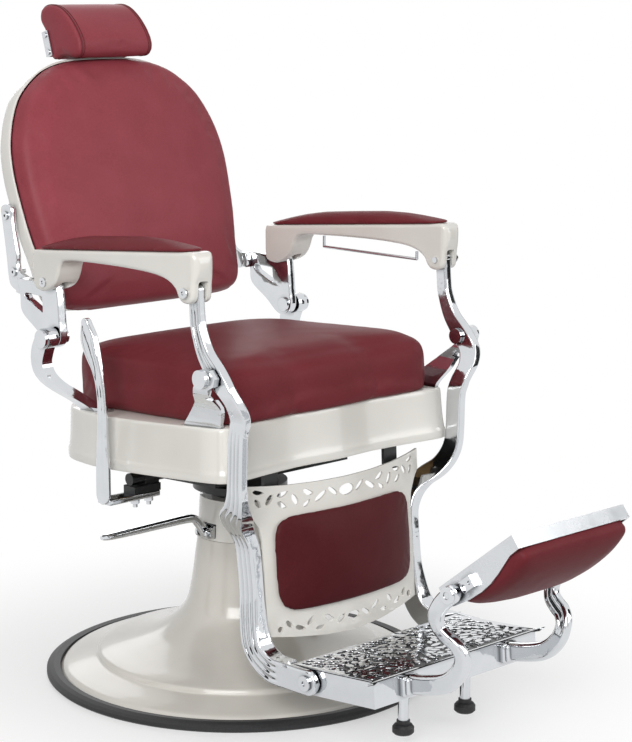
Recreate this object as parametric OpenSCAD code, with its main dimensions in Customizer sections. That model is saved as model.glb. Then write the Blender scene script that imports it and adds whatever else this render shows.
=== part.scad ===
// Hydraulic barber chair: a floor base with a pump column, a lifting seat frame, a reclining
// back that drives the armrests and the leg frame through side links, a foot tray with a
// flip-over foot board, and an adjustable headrest.
// Axes: +Z up, the sitter faces -Y, the sitter's right hand is -X. The origin lies on the
// column's axis at floor level.

/* [Base and column] */
// Outer radius of the rubber floor ring
base_r = 330; // [322:1:345]
// Height of the rubber floor ring
ring_h = 15; // [13:0.5:18]
// Radial width of the rubber floor ring
ring_w = 24; // [20:0.5:28]
// Wall of the column shells
shell_t = 2.5; // [2:0.1:3.5]
// Radius of the pump cylinder
cyl_r = 55; // [50:0.5:58]
// Radius of the lift ram
ram_r = 32; // [26:0.5:38]
// Height of the column's top rim
col_top = 305; // [296:1:312]
// Radius of the hub disc under the seat
hub_r = 80; // [68:1:92]

/* [Pump lever] */
// Height of the pump lever's pin
lever_z = 251; // [248:0.5:254]
// Reach of the pump lever from the column's axis
lever_reach = 298; // [260:1:330]

/* [Seat] */
// Height of the apron's top at the column's axis
seat_z = 476; // [474:1:500]
// Backward slope of the seat
seat_slope = 2.86; // [2:0.02:3.6]
// Half width of the apron at its widest
apron_hw = 277; // [272:0.5:282]
// Height of the apron
apron_h = 84; // [76:1:90]
// Wall of the apron
apron_t = 5; // [3:0.5:7]
// Width of the apron's top flange
flange_w = 60; // [50:1:64]
// Height of the seat cushion's side
seat_pad_h = 88; // [70:1:95]
// Crown of the seat cushion over its side
seat_crown = 18; // [8:0.5:24]

/* [Side links] */
// Thickness of the leg arms and back brackets
arm_t = 16; // [12:0.5:17]
// Radius of the main pivot pins
pin_r = 8; // [6:0.25:9]
// Radius of the armrest pins
arm_pin_r = 5; // [4:0.25:6]

/* [Back] */
// Lean of the back from upright
back_lean = 17.5; // [15:0.5:20]
// Depth of the back cushion's side in front of the mid plane
back_pad_d = 28; // [22:1:32]
// Crown of the back cushion
back_crown = 24; // [12:1:28]
// Width of the headrest bar
bar_w = 35; // [26:1:44]
// Half length of the headrest pad
head_hl = 83; // [70:1:100]

/* [Armrests] */
// Width of an armrest
rest_w = 50; // [46:1:54]
// Crown of an armrest pad
rest_crown = 22; // [12:1:26]

/* [Foot rest] */
// Half width of the foot tray
tray_hw = 185; // [178:0.5:185.5]
// Height of the foot tray's side
tray_h = 40; // [34:1:44]
// Half width of the foot board
board_hw = 127; // [118:0.5:127.5]
// Height of the rubber feet's soles over the floor
foot_lift = 18; // [14:1:24]

/* [Fits] */
// Running clearance of a hinge pin, on the radius
pin_fit = 0.05; // [0.03:0.01:0.08]
// Clearance of the open rear pivot of each armrest, on the radius
open_fit = 1.6; // [1.5:0.05:2]
// Gap between a padded piece and what carries it
pad_gap = 0.3; // [0.2:0.05:0.5]
// Side gap between neighbouring links
link_gap = 2; // [1.5:0.25:3]

/* [Hidden] */
$fn = 48;
cream = "#e9e6e0";
chrome = "#d5d8db";
leather = "#7c3a41";
black = "#26282a";
iron = "#5b5e61";

// ---------- shared places ----------
rise = seat_z - 476;             // how far the seat group stands above its drawn height
plate_r = base_r - ring_w;       // iron base plate
plate_t = 8;
bush_r = cyl_r + 5;              // outside of the column bush
split_z = 236;                   // the fixed column shell ends and the turning sleeve begins
cyl_top = col_top - 2;           // the pump cylinder's head

link_x = apron_hw - 11;          // outside of the back brackets, inside of the leg arms
leg_in = link_x;
leg_out = link_x + arm_t;
boss_in = leg_out + link_gap;    // front bracket boss
boss_out = boss_in + 16;
back_in = link_x - arm_t;
rear_in = link_x + 2 * link_gap; // rear arm boss
rear_out = rear_in + 20;
rest_front = (leg_in + leg_out) / 2;    // centre of the armrest over the leg arm
rest_rear = (back_in + link_x) / 2;     // centre of the armrest over the back bracket

// pivots as [y, z]
piv_a = [-246, 574 + rise];      // leg frame on the front bracket
piv_b = [156, 583 + rise];       // back on the rear arm
piv_c = [161, 674.5 + rise];     // armrest on the back bracket
piv_d = [-206, 699 + rise];      // armrest on the leg arm
piv_e = [-365, 107 + rise];      // foot tray on the leg arm
piv_f = [-606, 288 + rise];      // foot board on the goosenecks
piv_g = [-14, 372 + rise];       // recline lever

// ---------- curves ----------
function flat(L) = [for (a = L) each a];
function cr(a, b, c, d, t) = 0.5 * (2 * b + (c - a) * t + (2 * a - 5 * b + 4 * c - d) * t * t
  + (3 * b - a - 3 * c + d) * t * t * t);
function smooth(P, n = 4) = let (m = len(P)) concat(
  [for (i = [0 : m - 2], k = [0 : n - 1])
    cr(P[max(i - 1, 0)], P[i], P[i + 1], P[min(i + 2, m - 1)], k / n)], [P[m - 1]]);
function ring(P, n = 4) = let (m = len(P))
  [for (i = [0 : m - 1], k = [0 : n - 1])
    cr(P[(i + m - 1) % m], P[i], P[(i + 1) % m], P[(i + 2) % m], k / n)];
function unit(v) = v / max(norm(v), 0.000001);
function tangent(Q, i) = let (a = Q[max(i - 1, 0)], b = Q[min(i + 1, len(Q) - 1)])
  unit([b[0] - a[0], b[1] - a[1]]);
// outline of a bar whose centre line runs through [u, v, width]
function ribbon(Q) = concat(
  [for (i = [0 : len(Q) - 1]) let (t = tangent(Q, i))
    [Q[i][0] + t[1] * Q[i][2] / 2, Q[i][1] - t[0] * Q[i][2] / 2]],
  [for (i = [len(Q) - 1 : -1 : 0]) let (t = tangent(Q, i))
    [Q[i][0] - t[1] * Q[i][2] / 2, Q[i][1] + t[0] * Q[i][2] / 2]]);
// closed outline moved outward by d (counter-clockwise points)
function grow(P, d) = let (m = len(P)) [for (i = [0 : m - 1])
  let (t = unit([P[(i + 1) % m][0] - P[(i + m - 1) % m][0],
    P[(i + 1) % m][1] - P[(i + m - 1) % m][1]]))
  [P[i][0] + t[1] * d, P[i][1] - t[0] * d]];
// open line moved sideways by d
function shift_line(P, d) = [for (i = [0 : len(P) - 1]) let (t = tangent(P, i))
  [P[i][0] - t[1] * d, P[i][1] + t[0] * d]];
function reverse(P) = [for (i = [len(P) - 1 : -1 : 0]) P[i]];
// right half outline (from x = 0 to x = 0) completed with its mirror image
function both_halves(H) = concat(H, [for (i = [len(H) - 2 : -1 : 1]) [-H[i][0], H[i][1]]]);
function place(P, rot, at) = [for (p = P) [p[0] * cos(rot) - p[1] * sin(rot) + at[0],
  p[0] * sin(rot) + p[1] * cos(rot) + at[1]]];
function ellipse(a, b, n = 16) = [for (i = [0 : n - 1]) [a * cos(360 * i / n),
  b * sin(360 * i / n)]];

// ---------- solids ----------
module along_x(x0, x1) translate([x0, 0, 0]) rotate([90, 0, 90])
  linear_extrude(x1 - x0) children();
module along_y(y0, y1) translate([0, y1, 0]) rotate([90, 0, 0])
  linear_extrude(y1 - y0) children();
module pin_x(x0, x1, r, at) translate([x0, at[0], at[1]]) rotate([0, 90, 0])
  cylinder(r = r, h = x1 - x0);
module mirrored() mirror([1, 0, 0]) children();
module pair() {
  children();
  mirror([1, 0, 0]) children();
}
// closed skin over rings of equal point count, with a fan at each end
module loft(R) {
  m = len(R);
  k = len(R[0]);
  first = [for (a = [0 : 2]) sum([for (p = R[0]) p[a]]) / k];
  last = [for (a = [0 : 2]) sum([for (p = R[m - 1]) p[a]]) / k];
  sides = [for (i = [0 : m - 2], j = [0 : k - 1]) let (a = i * k + j, b = i * k + (j + 1) % k)
    each [[a, a + k, b], [b, a + k, b + k]]];
  low = [for (j = [0 : k - 1]) [m * k, j, (j + 1) % k]];
  high = [for (j = [0 : k - 1]) [m * k + 1, (m - 1) * k + (j + 1) % k, (m - 1) * k + j]];
  polyhedron(concat(flat(R), [first, last]), concat(sides, low, high), convexity = 6);
}
function sum(v, i = 0) = i >= len(v) ? 0 : v[i] + sum(v, i + 1);
function lift_ring(P, z) = [for (p = P) [p[0], p[1], z]];
// ring drawn in toward c by the factor f, at a height that follows the crown
function crown_ring(P, c, f, z, h) = [for (p = P)
  [c[0] + (p[0] - c[0]) * f, c[1] + (p[1] - c[1]) * f, z + h * (1 - pow(f, 2.4))]];
crown_steps = [0.985, 0.95, 0.86, 0.7, 0.48, 0.24];
// padded piece: drawn-in foot, bulging side, seam, crown; outline P in its own plane
function pad_rings(P, c, h, crown, bulge, seam = 1.5) = concat(
  [lift_ring(grow(P, -2.5), 0), lift_ring(grow(P, -0.5), 3), lift_ring(grow(P, bulge), h * 0.5),
   lift_ring(grow(P, bulge * 0.6), h - 6), lift_ring(grow(P, -seam), h - 1.5),
   lift_ring(grow(P, seam * 0.4), h)],
  [for (f = crown_steps) crown_ring(P, c, f, h, crown)]);

// ---------- base ----------
shell_line = smooth([[plate_r, plate_t], [base_r - 32, 18], [base_r - 60, 26],
  [base_r - 84, 33], [base_r - 89, 41], [200, 52], [160, 64], [136, 77], [131, 84],
  [127, 92], [112, 99], [98, 106], [88, 115], [83.5, 130], [82, 150], [77, 195],
  [72.2, split_z - 0.6]], 3);

module base_plate() color(iron) {
  difference() {
    union() {
      cylinder(r = plate_r, h = plate_t, $fn = 96);
      cylinder(r = bush_r + 12, h = 110);
      for (a = [0 : 45 : 315]) rotate(a) translate([bush_r, -4, 0]) cube([150, 8, 26]);
    }
    translate([0, 0, plate_t]) cylinder(r = bush_r, h = 200);
  }
}
module rubber_ring() color(black) rotate_extrude($fn = 96)
  polygon([[plate_r, 0], [base_r - 3, 0], [base_r, 3], [base_r, ring_h / 2 + 1],
    [base_r - 5, ring_h - 3], [base_r - 12, ring_h], [plate_r + 1, ring_h - 1],
    [plate_r, plate_t + 2]]);
module base_cover() color(cream) rotate_extrude($fn = 96)
  polygon(concat(shell_line, [for (p = reverse(shift_line(shell_line, shell_t)))
    [p[0], max(p[1], plate_t)]]));
module pump_bush() color("#b08d4a") difference() {
  translate([0, 0, plate_t]) cylinder(r = bush_r, h = 102);
  translate([0, 0, plate_t + 3]) cylinder(r = cyl_r + pin_fit, h = 200);
}

// ---------- pump, turning on the base ----------
head_r = 66;
module pump_cylinder() color(iron) difference() {
  union() {
    translate([0, 0, plate_t + 3.1]) cylinder(r = cyl_r, h = cyl_top - plate_t - 3.1);
    translate([0, 0, cyl_top - 12]) cylinder(r = head_r, h = 12);
  }
  translate([0, 0, 30]) cylinder(r = ram_r + pin_fit, h = col_top);
}
module column_sleeve() color(cream) difference() {
  rotate_extrude($fn = 96)
    polygon([[cyl_r, split_z], [72.2, split_z], [71.6, split_z + 6], [68.6, col_top],
      [ram_r + 3, col_top], [ram_r + 3, cyl_top], [head_r, cyl_top],
      [head_r, cyl_top - 13], [72.2 - shell_t - 1, split_z + 4], [cyl_r, split_z + 4]]);
  translate([-90, -16, lever_z - 10.5]) cube([50, 32, 24]);
}
lever_pin = [-80, lever_z];
module lever_clevis() color(chrome) difference() {
  union() {
    translate([-74, -15, lever_z - 9]) cube([30, 30, 20]);
    for (s = [-1, 1]) translate([-80, s * 12 + 3, lever_z]) rotate([90, 0, 0])
      cylinder(r = 9, h = 6);
    for (s = [-1, 1]) translate([-80, s * 12 - 3, lever_z - 9]) cube([12, 6, 18]);
  }
  cylinder(r = cyl_r, h = 400);
  translate([-95, -9, lever_z - 30]) cube([27, 18, 60]);
  translate([-80, 50, lever_z]) rotate([90, 0, 0]) cylinder(r = 4, h = 100);
}
module clevis_pin() color(chrome) translate([-80, 17, lever_z]) rotate([90, 0, 0]) {
  cylinder(r = 4, h = 34);
  cylinder(r = 5.5, h = 2);
  translate([0, 0, 32]) cylinder(r = 5.5, h = 2);
}
module pump_lever() color(chrome) difference() {
  union() {
    intersection() {
      along_y(-8.7, 8.7) polygon(ribbon(smooth([[-80, lever_z, 15], [-92, lever_z + 16, 15],
        [-104, lever_z + 27, 14], [-122, lever_z + 30, 14], [-170, lever_z + 30, 13],
        [-230, lever_z + 30, 12], [-lever_reach + 14, lever_z + 30, 10],
        [-lever_reach, lever_z + 30, 6]], 4)));
      linear_extrude(600) polygon(ribbon(smooth([[-60, 0, 15], [-100, 0, 14], [-180, 0, 14],
        [-240, 0, 17], [-lever_reach + 16, 0, 16], [-lever_reach, 0, 8]], 4)));
    }
    translate([-80, 8.7, lever_z]) rotate([90, 0, 0]) cylinder(r = 8.5, h = 17.4);
  }
  translate([-80, 50, lever_z]) rotate([90, 0, 0]) cylinder(r = 4 + pin_fit, h = 100);
}

// ---------- seat frame ----------
module seat_place() translate([0, 0, seat_z]) rotate([-seat_slope, 0, 0]) children();
board_t = 14;
rail_b = -124;                   // underside of the rails in the seat's own plane
module lift_ram() color(chrome) translate([0, 0, 42]) cylinder(r = ram_r, h = 308 + rise);
hub_z = 352 + rise;
module seat_hub() color(black) difference() {
  union() {
    translate([0, 0, col_top + 0.3]) cylinder(r = 48, h = hub_z - col_top - 0.3);
    translate([0, 0, 318 + rise]) cylinder(r = hub_r, h = 12, $fn = 96);
    translate([0, 0, 330 + rise]) cylinder(r = 64, h = 60);
  }
  translate([0, 0, 42]) cylinder(r = ram_r, h = 308 + rise);
  seat_place() translate([-200, -200, rail_b]) cube([400, 400, 200]);
}
bracket_at = [apron_hw - 31, -190];
module bracket_turn() translate([bracket_at[0], bracket_at[1], 0]) rotate([0, 0, -9])
  translate([-bracket_at[0], -bracket_at[1], 0]) children();
fan_t = 7;
rail_low = -88;                  // underside of the side channels
module rail() {
  difference() {
    translate([120, -216, rail_low]) cube([30, 366, -board_t - rail_low]);
    translate([119, -210, rail_low + 6]) cube([25, 361, -board_t - rail_low - 12]);
  }
  translate([120, -216, rail_b]) cube([30, 6, rail_low - rail_b + 1]);
  translate([144, -100, rail_b]) cube([6, 200, rail_low - rail_b + 1]);
}
module seat_frame() color(black) difference() {
  seat_place() {
    pair() {
      rail();
      bracket_turn() translate([140, -208, -34]) cube([bracket_at[0] - fan_t / 2 - 140.3, 48, 20]);
      bracket_turn() translate([apron_hw - flange_w + 2, -208, -34])
        cube([bracket_at[0] - fan_t / 2 - apron_hw + flange_w - 2.3, 48, 30]);
      translate([140, 40, -34]) cube([apron_hw - 174, 66, 20]);
      translate([apron_hw - flange_w + 2, 40, -34]) cube([flange_w - 36, 66, 30]);
    }
    translate([-150, -100, rail_b]) cube([300, 200, 6]);
    translate([-121, -206, -54]) cube([242, 8, 40]);
    translate([-121, 140, -54]) cube([242, 8, 40]);
  }
  pin_x(-180, -90, 10 + pin_fit, piv_g);
}
apron_half = [[0, -226], [78, -221], [150, -226], [205, -233], [apron_hw - 39, -233],
  [apron_hw - 25, -214], [apron_hw - 16, -158], [apron_hw - 5, -70], [apron_hw, 0],
  [apron_hw - 4, 60], [apron_hw - 25, 132], [apron_hw - 72, 178], [140, 193], [70, 197],
  [0, 198]];
apron_plan = ring(both_halves(apron_half), 2);
// the skirt flares a little toward its bead
function skirt(o, z) = lift_ring(grow(apron_plan, o), z);
flange_hw = apron_hw - flange_w;
flange_plan = ring(both_halves([[0, -168], [110, -168], [flange_hw - 42, -163],
  [flange_hw - 14, -144], [flange_hw - 2, -105], [flange_hw, 0], [flange_hw - 4, 48],
  [flange_hw - 22, 98], [flange_hw - 66, 127], [70, 136], [0, 138]]), 2);
module seat_board() color("#b9925e") seat_place() translate([0, 0, -board_t])
  linear_extrude(board_t) polygon(grow(flange_plan, -0.6));
module apron() color(cream) seat_place() difference() {
  loft([skirt(6.5, -apron_h), skirt(8, -apron_h + 3), skirt(8, -apron_h + 13),
    skirt(6.4, -apron_h + 22), skirt(4.4, -apron_h + 27), skirt(3, -apron_h * 0.5),
    skirt(1, -9), skirt(0, -2.5), skirt(-2, 0)]);
  translate([0, 0, -apron_h - 1]) linear_extrude(apron_h - 3)
    polygon(grow(apron_plan, -apron_t));
  translate([0, 0, -apron_h - 1]) linear_extrude(17) polygon(grow(apron_plan, 4.5));
  translate([0, 0, -20]) linear_extrude(40) polygon(flange_plan);
  pair() bracket_turn()
    translate([bracket_at[0] - fan_t / 2 - 1, -226, -20]) cube([fan_t + 3, 78, 40]);
}
seat_half = [[0, -234], [55, -231], [92, -228], [140, -232], [186, -232], [217, -221],
  [231, -193], [235, -110], [234, 0], [232, 90], [220, 142], [188, 173], [140, 186],
  [70, 190], [0, 191]];
seat_plan = ring(both_halves([for (p = seat_half) [p[0] * (apron_hw - 41) / 236, p[1]]]), 2);
function seat_dip(p) = -3 * exp(-pow((abs(p[0]) - 85) / 26, 2)) * min(1, max(0,
  (-40 - p[1]) / 150)) * min(1, max(0, (p[2] - 30) / 50));
// ring moved outward by d, and drawn in by e where the front edge rolls over
function rolled(P, d, e, z) = let (G = grow(P, 1)) [for (i = [0 : len(P) - 1])
  let (o = d - e * max(0, min(1, (-P[i][1] - 90) / 110)))
  [P[i][0] + (G[i][0] - P[i][0]) * o, P[i][1] + (G[i][1] - P[i][1]) * o, z]];
module seat_cushion() color(leather) seat_place() translate([0, 0, pad_gap])
  loft([for (R = concat([for (q = [[-2.5, 0, 0], [-0.5, 0, 3], [3, 0, 44], [2.8, 0.5, 60],
    [2.2, 2.5, 71], [1.4, 7, 79], [0, 13, 84], [-1.5, 19, 87], [-8, 21, 89.3]])
    rolled(seat_plan, q[0], q[1], q[2] * seat_pad_h / 88)],
    [for (f = [0.86, 0.7, 0.48, 0.24]) crown_ring(seat_plan, [0, -15], f, seat_pad_h, seat_crown)]))
    [for (p = R) p + [0, 0, seat_dip(p)]]]);

// ---------- brackets on the seat frame ----------
module front_bracket() color(chrome) difference() {
  union() {
    bracket_turn() intersection() {
      along_x(200, 340) polygon([for (p = [[-212, 440], [-212, 476], [-224, 482], [-227, 495], [-239, 515], [-244, 530],
        [-241, 546], [-245, 557], [-258, 564], [-261, 576], [-250, 588], [-236, 587],
        [-226, 572], [-214, 552], [-198, 531], [-172, 507], [-155, 490], [-150, 476],
        [-150, 440]]) [p[0], p[1] + rise]]);
      along_y(-300, -100) polygon(ribbon(smooth([for (p = [[246, 430, fan_t], [246, 452, fan_t],
        [246, 472, fan_t], [247, 491, fan_t], [258, 512, fan_t], [273, 532, 8], [290, 547, 9], [298, 557, 11],
        [300, 566, 14], [300, 592, 14]]) [p[0] + apron_hw - 277, p[1] + rise, p[2]]], 2)));
    }
    pin_x(boss_in, boss_out, 14.5, piv_a);
  }
  pin_x(boss_in - 40, boss_out + 1, pin_r, piv_a);
  pin_x(boss_out, boss_out + 12, 15.5, piv_a);
  translate([0, -400, 0]) cube([boss_in, 156, 900]);
  translate([0, -400, 538 + rise]) cube([boss_in, 164.5, 60]);
  along_x(leg_in - 30, boss_in) polygon([for (p = place(ellipse(20, 20, 24), 0, piv_a)) p]);
}
module front_bracket_left() front_bracket();
module front_bracket_right() mirrored() front_bracket();
rear_side = ribbon(smooth([for (p = [[piv_b[0] + 2, 586, 30], [171, 562, 33], [174, 540, 30],
  [161, 520, 25], [134, 503, 19], [106, 488, 16], [80, 475, 16], [64, 467, 16]])
  [p[0], p[1] + rise, p[2]]], 3));
rear_front = ribbon(smooth([for (p = [[-26, 450, 22], [-25, 474, 22], [-17, 490, 21],
  [-4, 504, 20], [3, 520, 20], [3, 545, 20], [3, 600, 20], [3, 640, 20]])
  [apron_hw + p[0], p[1] + rise, p[2]]], 3));
module rear_arm() color(chrome) difference() {
  union() {
    intersection() {
      along_x(200, 320) polygon(rear_side);
      along_y(0, 300) polygon(rear_front);
    }
    pin_x(rear_in, rear_out, 17, piv_b);
    seat_place() translate([apron_hw - 36, 36, 0]) cube([22, 60, 6]);
  }
  pin_x(rear_in - 1, rear_out + 1, pin_r, piv_b);
  seat_place() translate([100, -100, -100]) cube([300, 300, 100]);
  seat_place() for (y = foot_screw_y) translate([foot_screw_x, y, -1]) cylinder(r = 3, h = 12);
}
foot_screw_x = apron_hw - 25;
foot_screw_y = [48];
module rear_arm_left() rear_arm();
module rear_arm_right() mirrored() rear_arm();
module bracket_screws() color(chrome) pair() seat_place()
  for (y = foot_screw_y) translate([foot_screw_x, y, 0]) {
    cylinder(r = 3, h = 6);
    translate([0, 0, 6]) cylinder(r = 6, h = 4);
  }
module front_pivot_pins() color(chrome) pair() {
  pin_x(leg_in - 4, boss_out, pin_r, piv_a);
  pin_x(boss_out, boss_out + 6, 14.5, piv_a);
  pin_x(leg_in - 5, leg_in - 0.3, 13, piv_a);
}
module rear_pivot_pins() color(chrome) pair() {
  pin_x(back_in - 4, rear_out, pin_r, piv_b);
  pin_x(rear_out, rear_out + 6, 15, piv_b);
  pin_x(back_in - 5, back_in - 0.3, 12, piv_b);
}

// ---------- recline lever ----------
lever_x = apron_hw + 23;
module recline_lever() color(chrome) difference() {
  union() {
    along_x(-lever_x - 8, -lever_x) union() {
      polygon(ribbon(smooth([for (p = [[0, -16, 31], [0, 28, 30], [0, 78, 24], [0, 136, 20],
        [9, 180, 22], [20, 208, 31], [29, 232, 34], [35, 254, 18]])
        [piv_g[0] + p[0], piv_g[1] + p[1], p[2]]], 4)));
      translate([piv_g[0], piv_g[1] - 16]) circle(r = 15.5);
    }
    translate([-lever_x - 4, piv_g[0] - 15.5, piv_g[1] - 32]) cube([lever_x - 196, 31, 9]);
  }
  for (x = bolt_x) translate([x, piv_g[0], 0]) cylinder(r = 4, h = 900);
}
bolt_x = [60 - lever_x, 88 - lever_x];
module recline_shaft() color(black) difference() {
  union() {
    pin_x(48 - lever_x, -100, 10, piv_g);
    translate([48 - lever_x, piv_g[0] - 14, piv_g[1] - 23]) cube([54, 28, 12]);
    translate([72 - lever_x, piv_g[0] - 10, piv_g[1] - 12]) cube([30, 20, 12]);
    pin_x(72 - lever_x, 102 - lever_x, 10.5, piv_g);
    pin_x(-143.6, -138, 12, piv_g);
  }
  for (x = bolt_x) translate([x, piv_g[0], piv_g[1] - 40]) cylinder(r = 4, h = 25);
}
module lever_bolts() color(chrome) for (x = bolt_x) translate([x, piv_g[0], piv_g[1] - 47]) {
  cylinder(r = 4, h = 32);
  translate([0, 0, 6]) rotate(30) cylinder(r = 7.5, h = 9, $fn = 6);
}

// ---------- back ----------
back_at = [233, 600 + rise];
function bk(n, s) = [back_at[0] + n * cos(back_lean) + s * sin(back_lean),
  back_at[1] + s * cos(back_lean) - n * sin(back_lean)];
// children are drawn as x, s in the plane with their height along the depth, +z to the rear
module back_place() translate([0, back_at[0], back_at[1]]) rotate([-back_lean, 0, 0])
  multmatrix([[1, 0, 0, 0], [0, 0, 1, 0], [0, 1, 0, 0], [0, 0, 0, 1]]) children();
back_half = [[0, 4], [90, 5], [160, 8], [188, 15], [201, 34], [206, 62], [211, 100],
  [219, 145], [224, 200], [226, 245], [222, 288], [213, 320], [201, 348], [184, 375],
  [158, 399], [126, 419], [85, 431], [42, 435], [0, 436]];
back_plan = ring(both_halves([for (p = back_half) [p[0] * back_in / 250, p[1]]]), 2);
// the shell's outline, whose lower edge hides behind the cushion
shell_plan = [for (p = back_plan) [p[0], p[1] + 12.6 * pow(max(0, 1 - p[1] / 50), 1.3)]];
shell_rim = 0;
slot_fit = 0.2;
bar_n = 38;
bar_t = 6;
module back_shell() color(cream) difference() {
  union() {
    back_place() loft([lift_ring(grow(shell_plan, 6.5), shell_rim),
      lift_ring(grow(shell_plan, 8), shell_rim + 2), lift_ring(grow(shell_plan, 8), 22),
      lift_ring(grow(shell_plan, 5), 31), lift_ring(grow(shell_plan, -2), 38),
      lift_ring(grow(shell_plan, -14), 43),
      [for (p = shell_plan) [p[0] * 0.8, 200 + (p[1] - 200) * 0.83, 47]],
      [for (p = shell_plan) [p[0] * 0.5, 200 + (p[1] - 200) * 0.55, 50]]]);
    pair() for (q = shell_bosses) intersection() {
      pin_x(190, arm_in, 11, q);
      back_place() translate([0, 0, shell_rim]) cube([400, 400, 100]);
    }
  }
  back_place() translate([0, 0, -20]) linear_extrude(42) polygon(grow(shell_plan, 4.5));
  back_place() translate([0, 0, -20]) linear_extrude(54) polygon(grow(shell_plan, -4));
  back_place() translate([-bar_w / 2 - slot_fit, 280, bar_n - slot_fit])
    cube([bar_w + 2 * slot_fit, 200, bar_t + 2 * slot_fit]);
  back_place() translate([-guide_w / 2, 420, 33]) cube([guide_w, 60, 40]);
  pair() for (q = shell_bosses) pin_x(arm_in - 12, arm_in + 1, 4, q);
}
shell_bosses = [bk(24.4, 183.5), bk(34, 88.8)];
module back_board() color("#b9925e") difference() {
  back_place() translate([0, 0, 8]) linear_extrude(10) polygon(grow(shell_plan, 4.2));
}
module back_cushion() color(leather) back_place() mirror([0, 0, 1]) translate([0, 0, -8 + pad_gap])
  loft(concat([for (q = [[-2.5, 0], [-0.5, 3], [2, 7.3]]) lift_ring(grow(shell_plan, q[0]), q[1])],
    [for (q = [[1.5, 9], [2.5, 14], [2, 21], [0, 28], [-4, 34], [-11, 38.5]])
      lift_ring(grow(back_plan, q[0]), q[1] * (8 + back_pad_d) / 36)],
    [for (f = [0.84, 0.7, 0.48, 0.24]) crown_ring(back_plan, [0, 215], f, 8 + back_pad_d, back_crown)]));
// the plate carries the pivots; the arm is set in beside the shell and bolts to it
arm_out = back_in - 4;
arm_in = back_in - 14;
strip = [[254, 667], [251, 655], [249, 640], [244, 614], [206, 589], [176, 566], [156, 566],
  [142, 580], [144, 610], [150, 664], [161, 684], [186, 676], [208, 669], [232, 670]];
upper_arm = [[326, 779], [323, 759], [314, 708], [307, 660], [298, 648], [283, 643],
  [262, 640], [252, 652], [258, 667], [277, 675], [284, 687], [284, 704], [289, 730],
  [296, 761], [298, 782], [312, 787]];
module side_bracket() color(chrome) difference() {
  union() {
    along_x(back_in, link_x) polygon([for (p = strip) [p[0], p[1] + rise]]);
    along_x(arm_in, arm_out) polygon([for (p = upper_arm) [p[0], p[1] + rise]]);
    along_x(arm_in + 1, link_x - 4) polygon([for (p = [[266, 644], [246, 642], [244, 655],
      [247, 668.5], [266, 668.5]]) [p[0], p[1] + rise]]);
    pin_x(back_in, link_x, 17, piv_b);
    pin_x(back_in, link_x, 10.5, piv_c);
  }
  along_x(back_in - 1, link_x + 1) polygon([for (p = [[188, 619], [190, 646], [233, 648],
    [237, 644], [233, 638]]) [p[0], p[1] + rise]]);
  pin_x(back_in - 1, link_x + 1, pin_r + pin_fit, piv_b);
  pin_x(back_in - 1, link_x + 1, arm_pin_r + open_fit, piv_c);
  for (q = shell_bosses) pin_x(arm_in - 1, arm_out + 1, 4, q);
}
module side_bracket_left() side_bracket();
module side_bracket_right() mirrored() side_bracket();
module back_screws() color(chrome) pair() for (q = shell_bosses) {
  pin_x(arm_in - 12, arm_out, 4, q);
  difference() {
    pin_x(arm_out, arm_out + 3, 7, q);
    translate([arm_out + 1.6, q[0], q[1]]) rotate([0, 90, 0]) cylinder(r = 2.6, h = 3, $fn = 6);
  }
}
guide_w = 62;
module headrest_guide() color(chrome) difference() {
  back_place() intersection() {
    translate([-guide_w / 2, 420, 33]) cube([guide_w, 14, 16]);
    translate([0, 427, 12]) rotate([90, 0, 0]) cylinder(r = 48, h = 60, center = true);
  }
  back_place() translate([-bar_w / 2 - slot_fit, 280, bar_n - slot_fit])
    cube([bar_w + 2 * slot_fit, 200, bar_t + 2 * slot_fit]);
}
tilt_s = 469;                    // headrest hinge along the back
tilt_at = bk(bar_n + bar_t / 2, tilt_s);
module headrest_bar() color(chrome) difference() {
  union() {
    back_place() translate([-bar_w / 2, 310, bar_n]) cube([bar_w, tilt_s - 310 - 2, bar_t]);
    pin_x(-bar_w / 2 + 0.5, bar_w / 2 - 0.5, 5.5, tilt_at);
  }
  pin_x(-100, 100, 3, tilt_at);
}
head_back = 31;                  // flat back of the headrest pad
head_sec = [[head_back, 464], [head_back, 484], [head_back, 500], [head_back + 5, 511],
  [head_back + 9, 524], [head_back + 4, 537], [22, 543], [2, 540], [-16, 531], [-31, 517],
  [-44, 498], [-53, 478], [-58, 459], [-56, 444], [-47, 435.5], [-30, 437], [-14, 443],
  [2, 447], [18, 447.5], [head_back - 1, 451]];
head_c = [-10, 490];
function head_ring(f, x) = [for (p = head_pts)
  let (q = bk(head_c[0] + (p[0] - head_c[0]) * f, head_c[1] + (p[1] - head_c[1]) * f))
  [x, q[0], q[1]]];
head_pts = ring(head_sec, 2);
module headrest_pad() color(leather)
  loft([head_ring(0.6, -head_hl + 0.5), head_ring(0.9, -head_hl), head_ring(0.975, -head_hl + 3),
    head_ring(0.99, -head_hl + 10), head_ring(1, -head_hl * 0.5), head_ring(1, head_hl * 0.5),
    head_ring(0.99, head_hl - 10), head_ring(0.975, head_hl - 3), head_ring(0.9, head_hl),
    head_ring(0.6, head_hl - 0.5)]);
plate_n = head_back + pad_gap + 0.2;
module headrest_yoke() color(chrome) difference() {
  union() {
    back_place() {
      translate([-head_hl - 3.6, 455, plate_n]) cube([2 * head_hl + 7.2, 44, 3]);
      pair() translate([head_hl + 0.6, 455, 18]) cube([3, 44, plate_n - 15]);
    }
    pair() pin_x(bar_w / 2 + 0.4, bar_w / 2 + 9, 6, tilt_at);
    pair() back_place() translate([bar_w / 2 + 0.7, tilt_s - 5, plate_n])
      cube([8, 10, bar_n + bar_t / 2 - plate_n]);
  }
  pin_x(-100, 100, 3 + pin_fit, tilt_at);
  pair() for (s = [462, 492]) pin_x(head_hl - 5, head_hl + 10, 2.5, bk(26, s));
}
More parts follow.
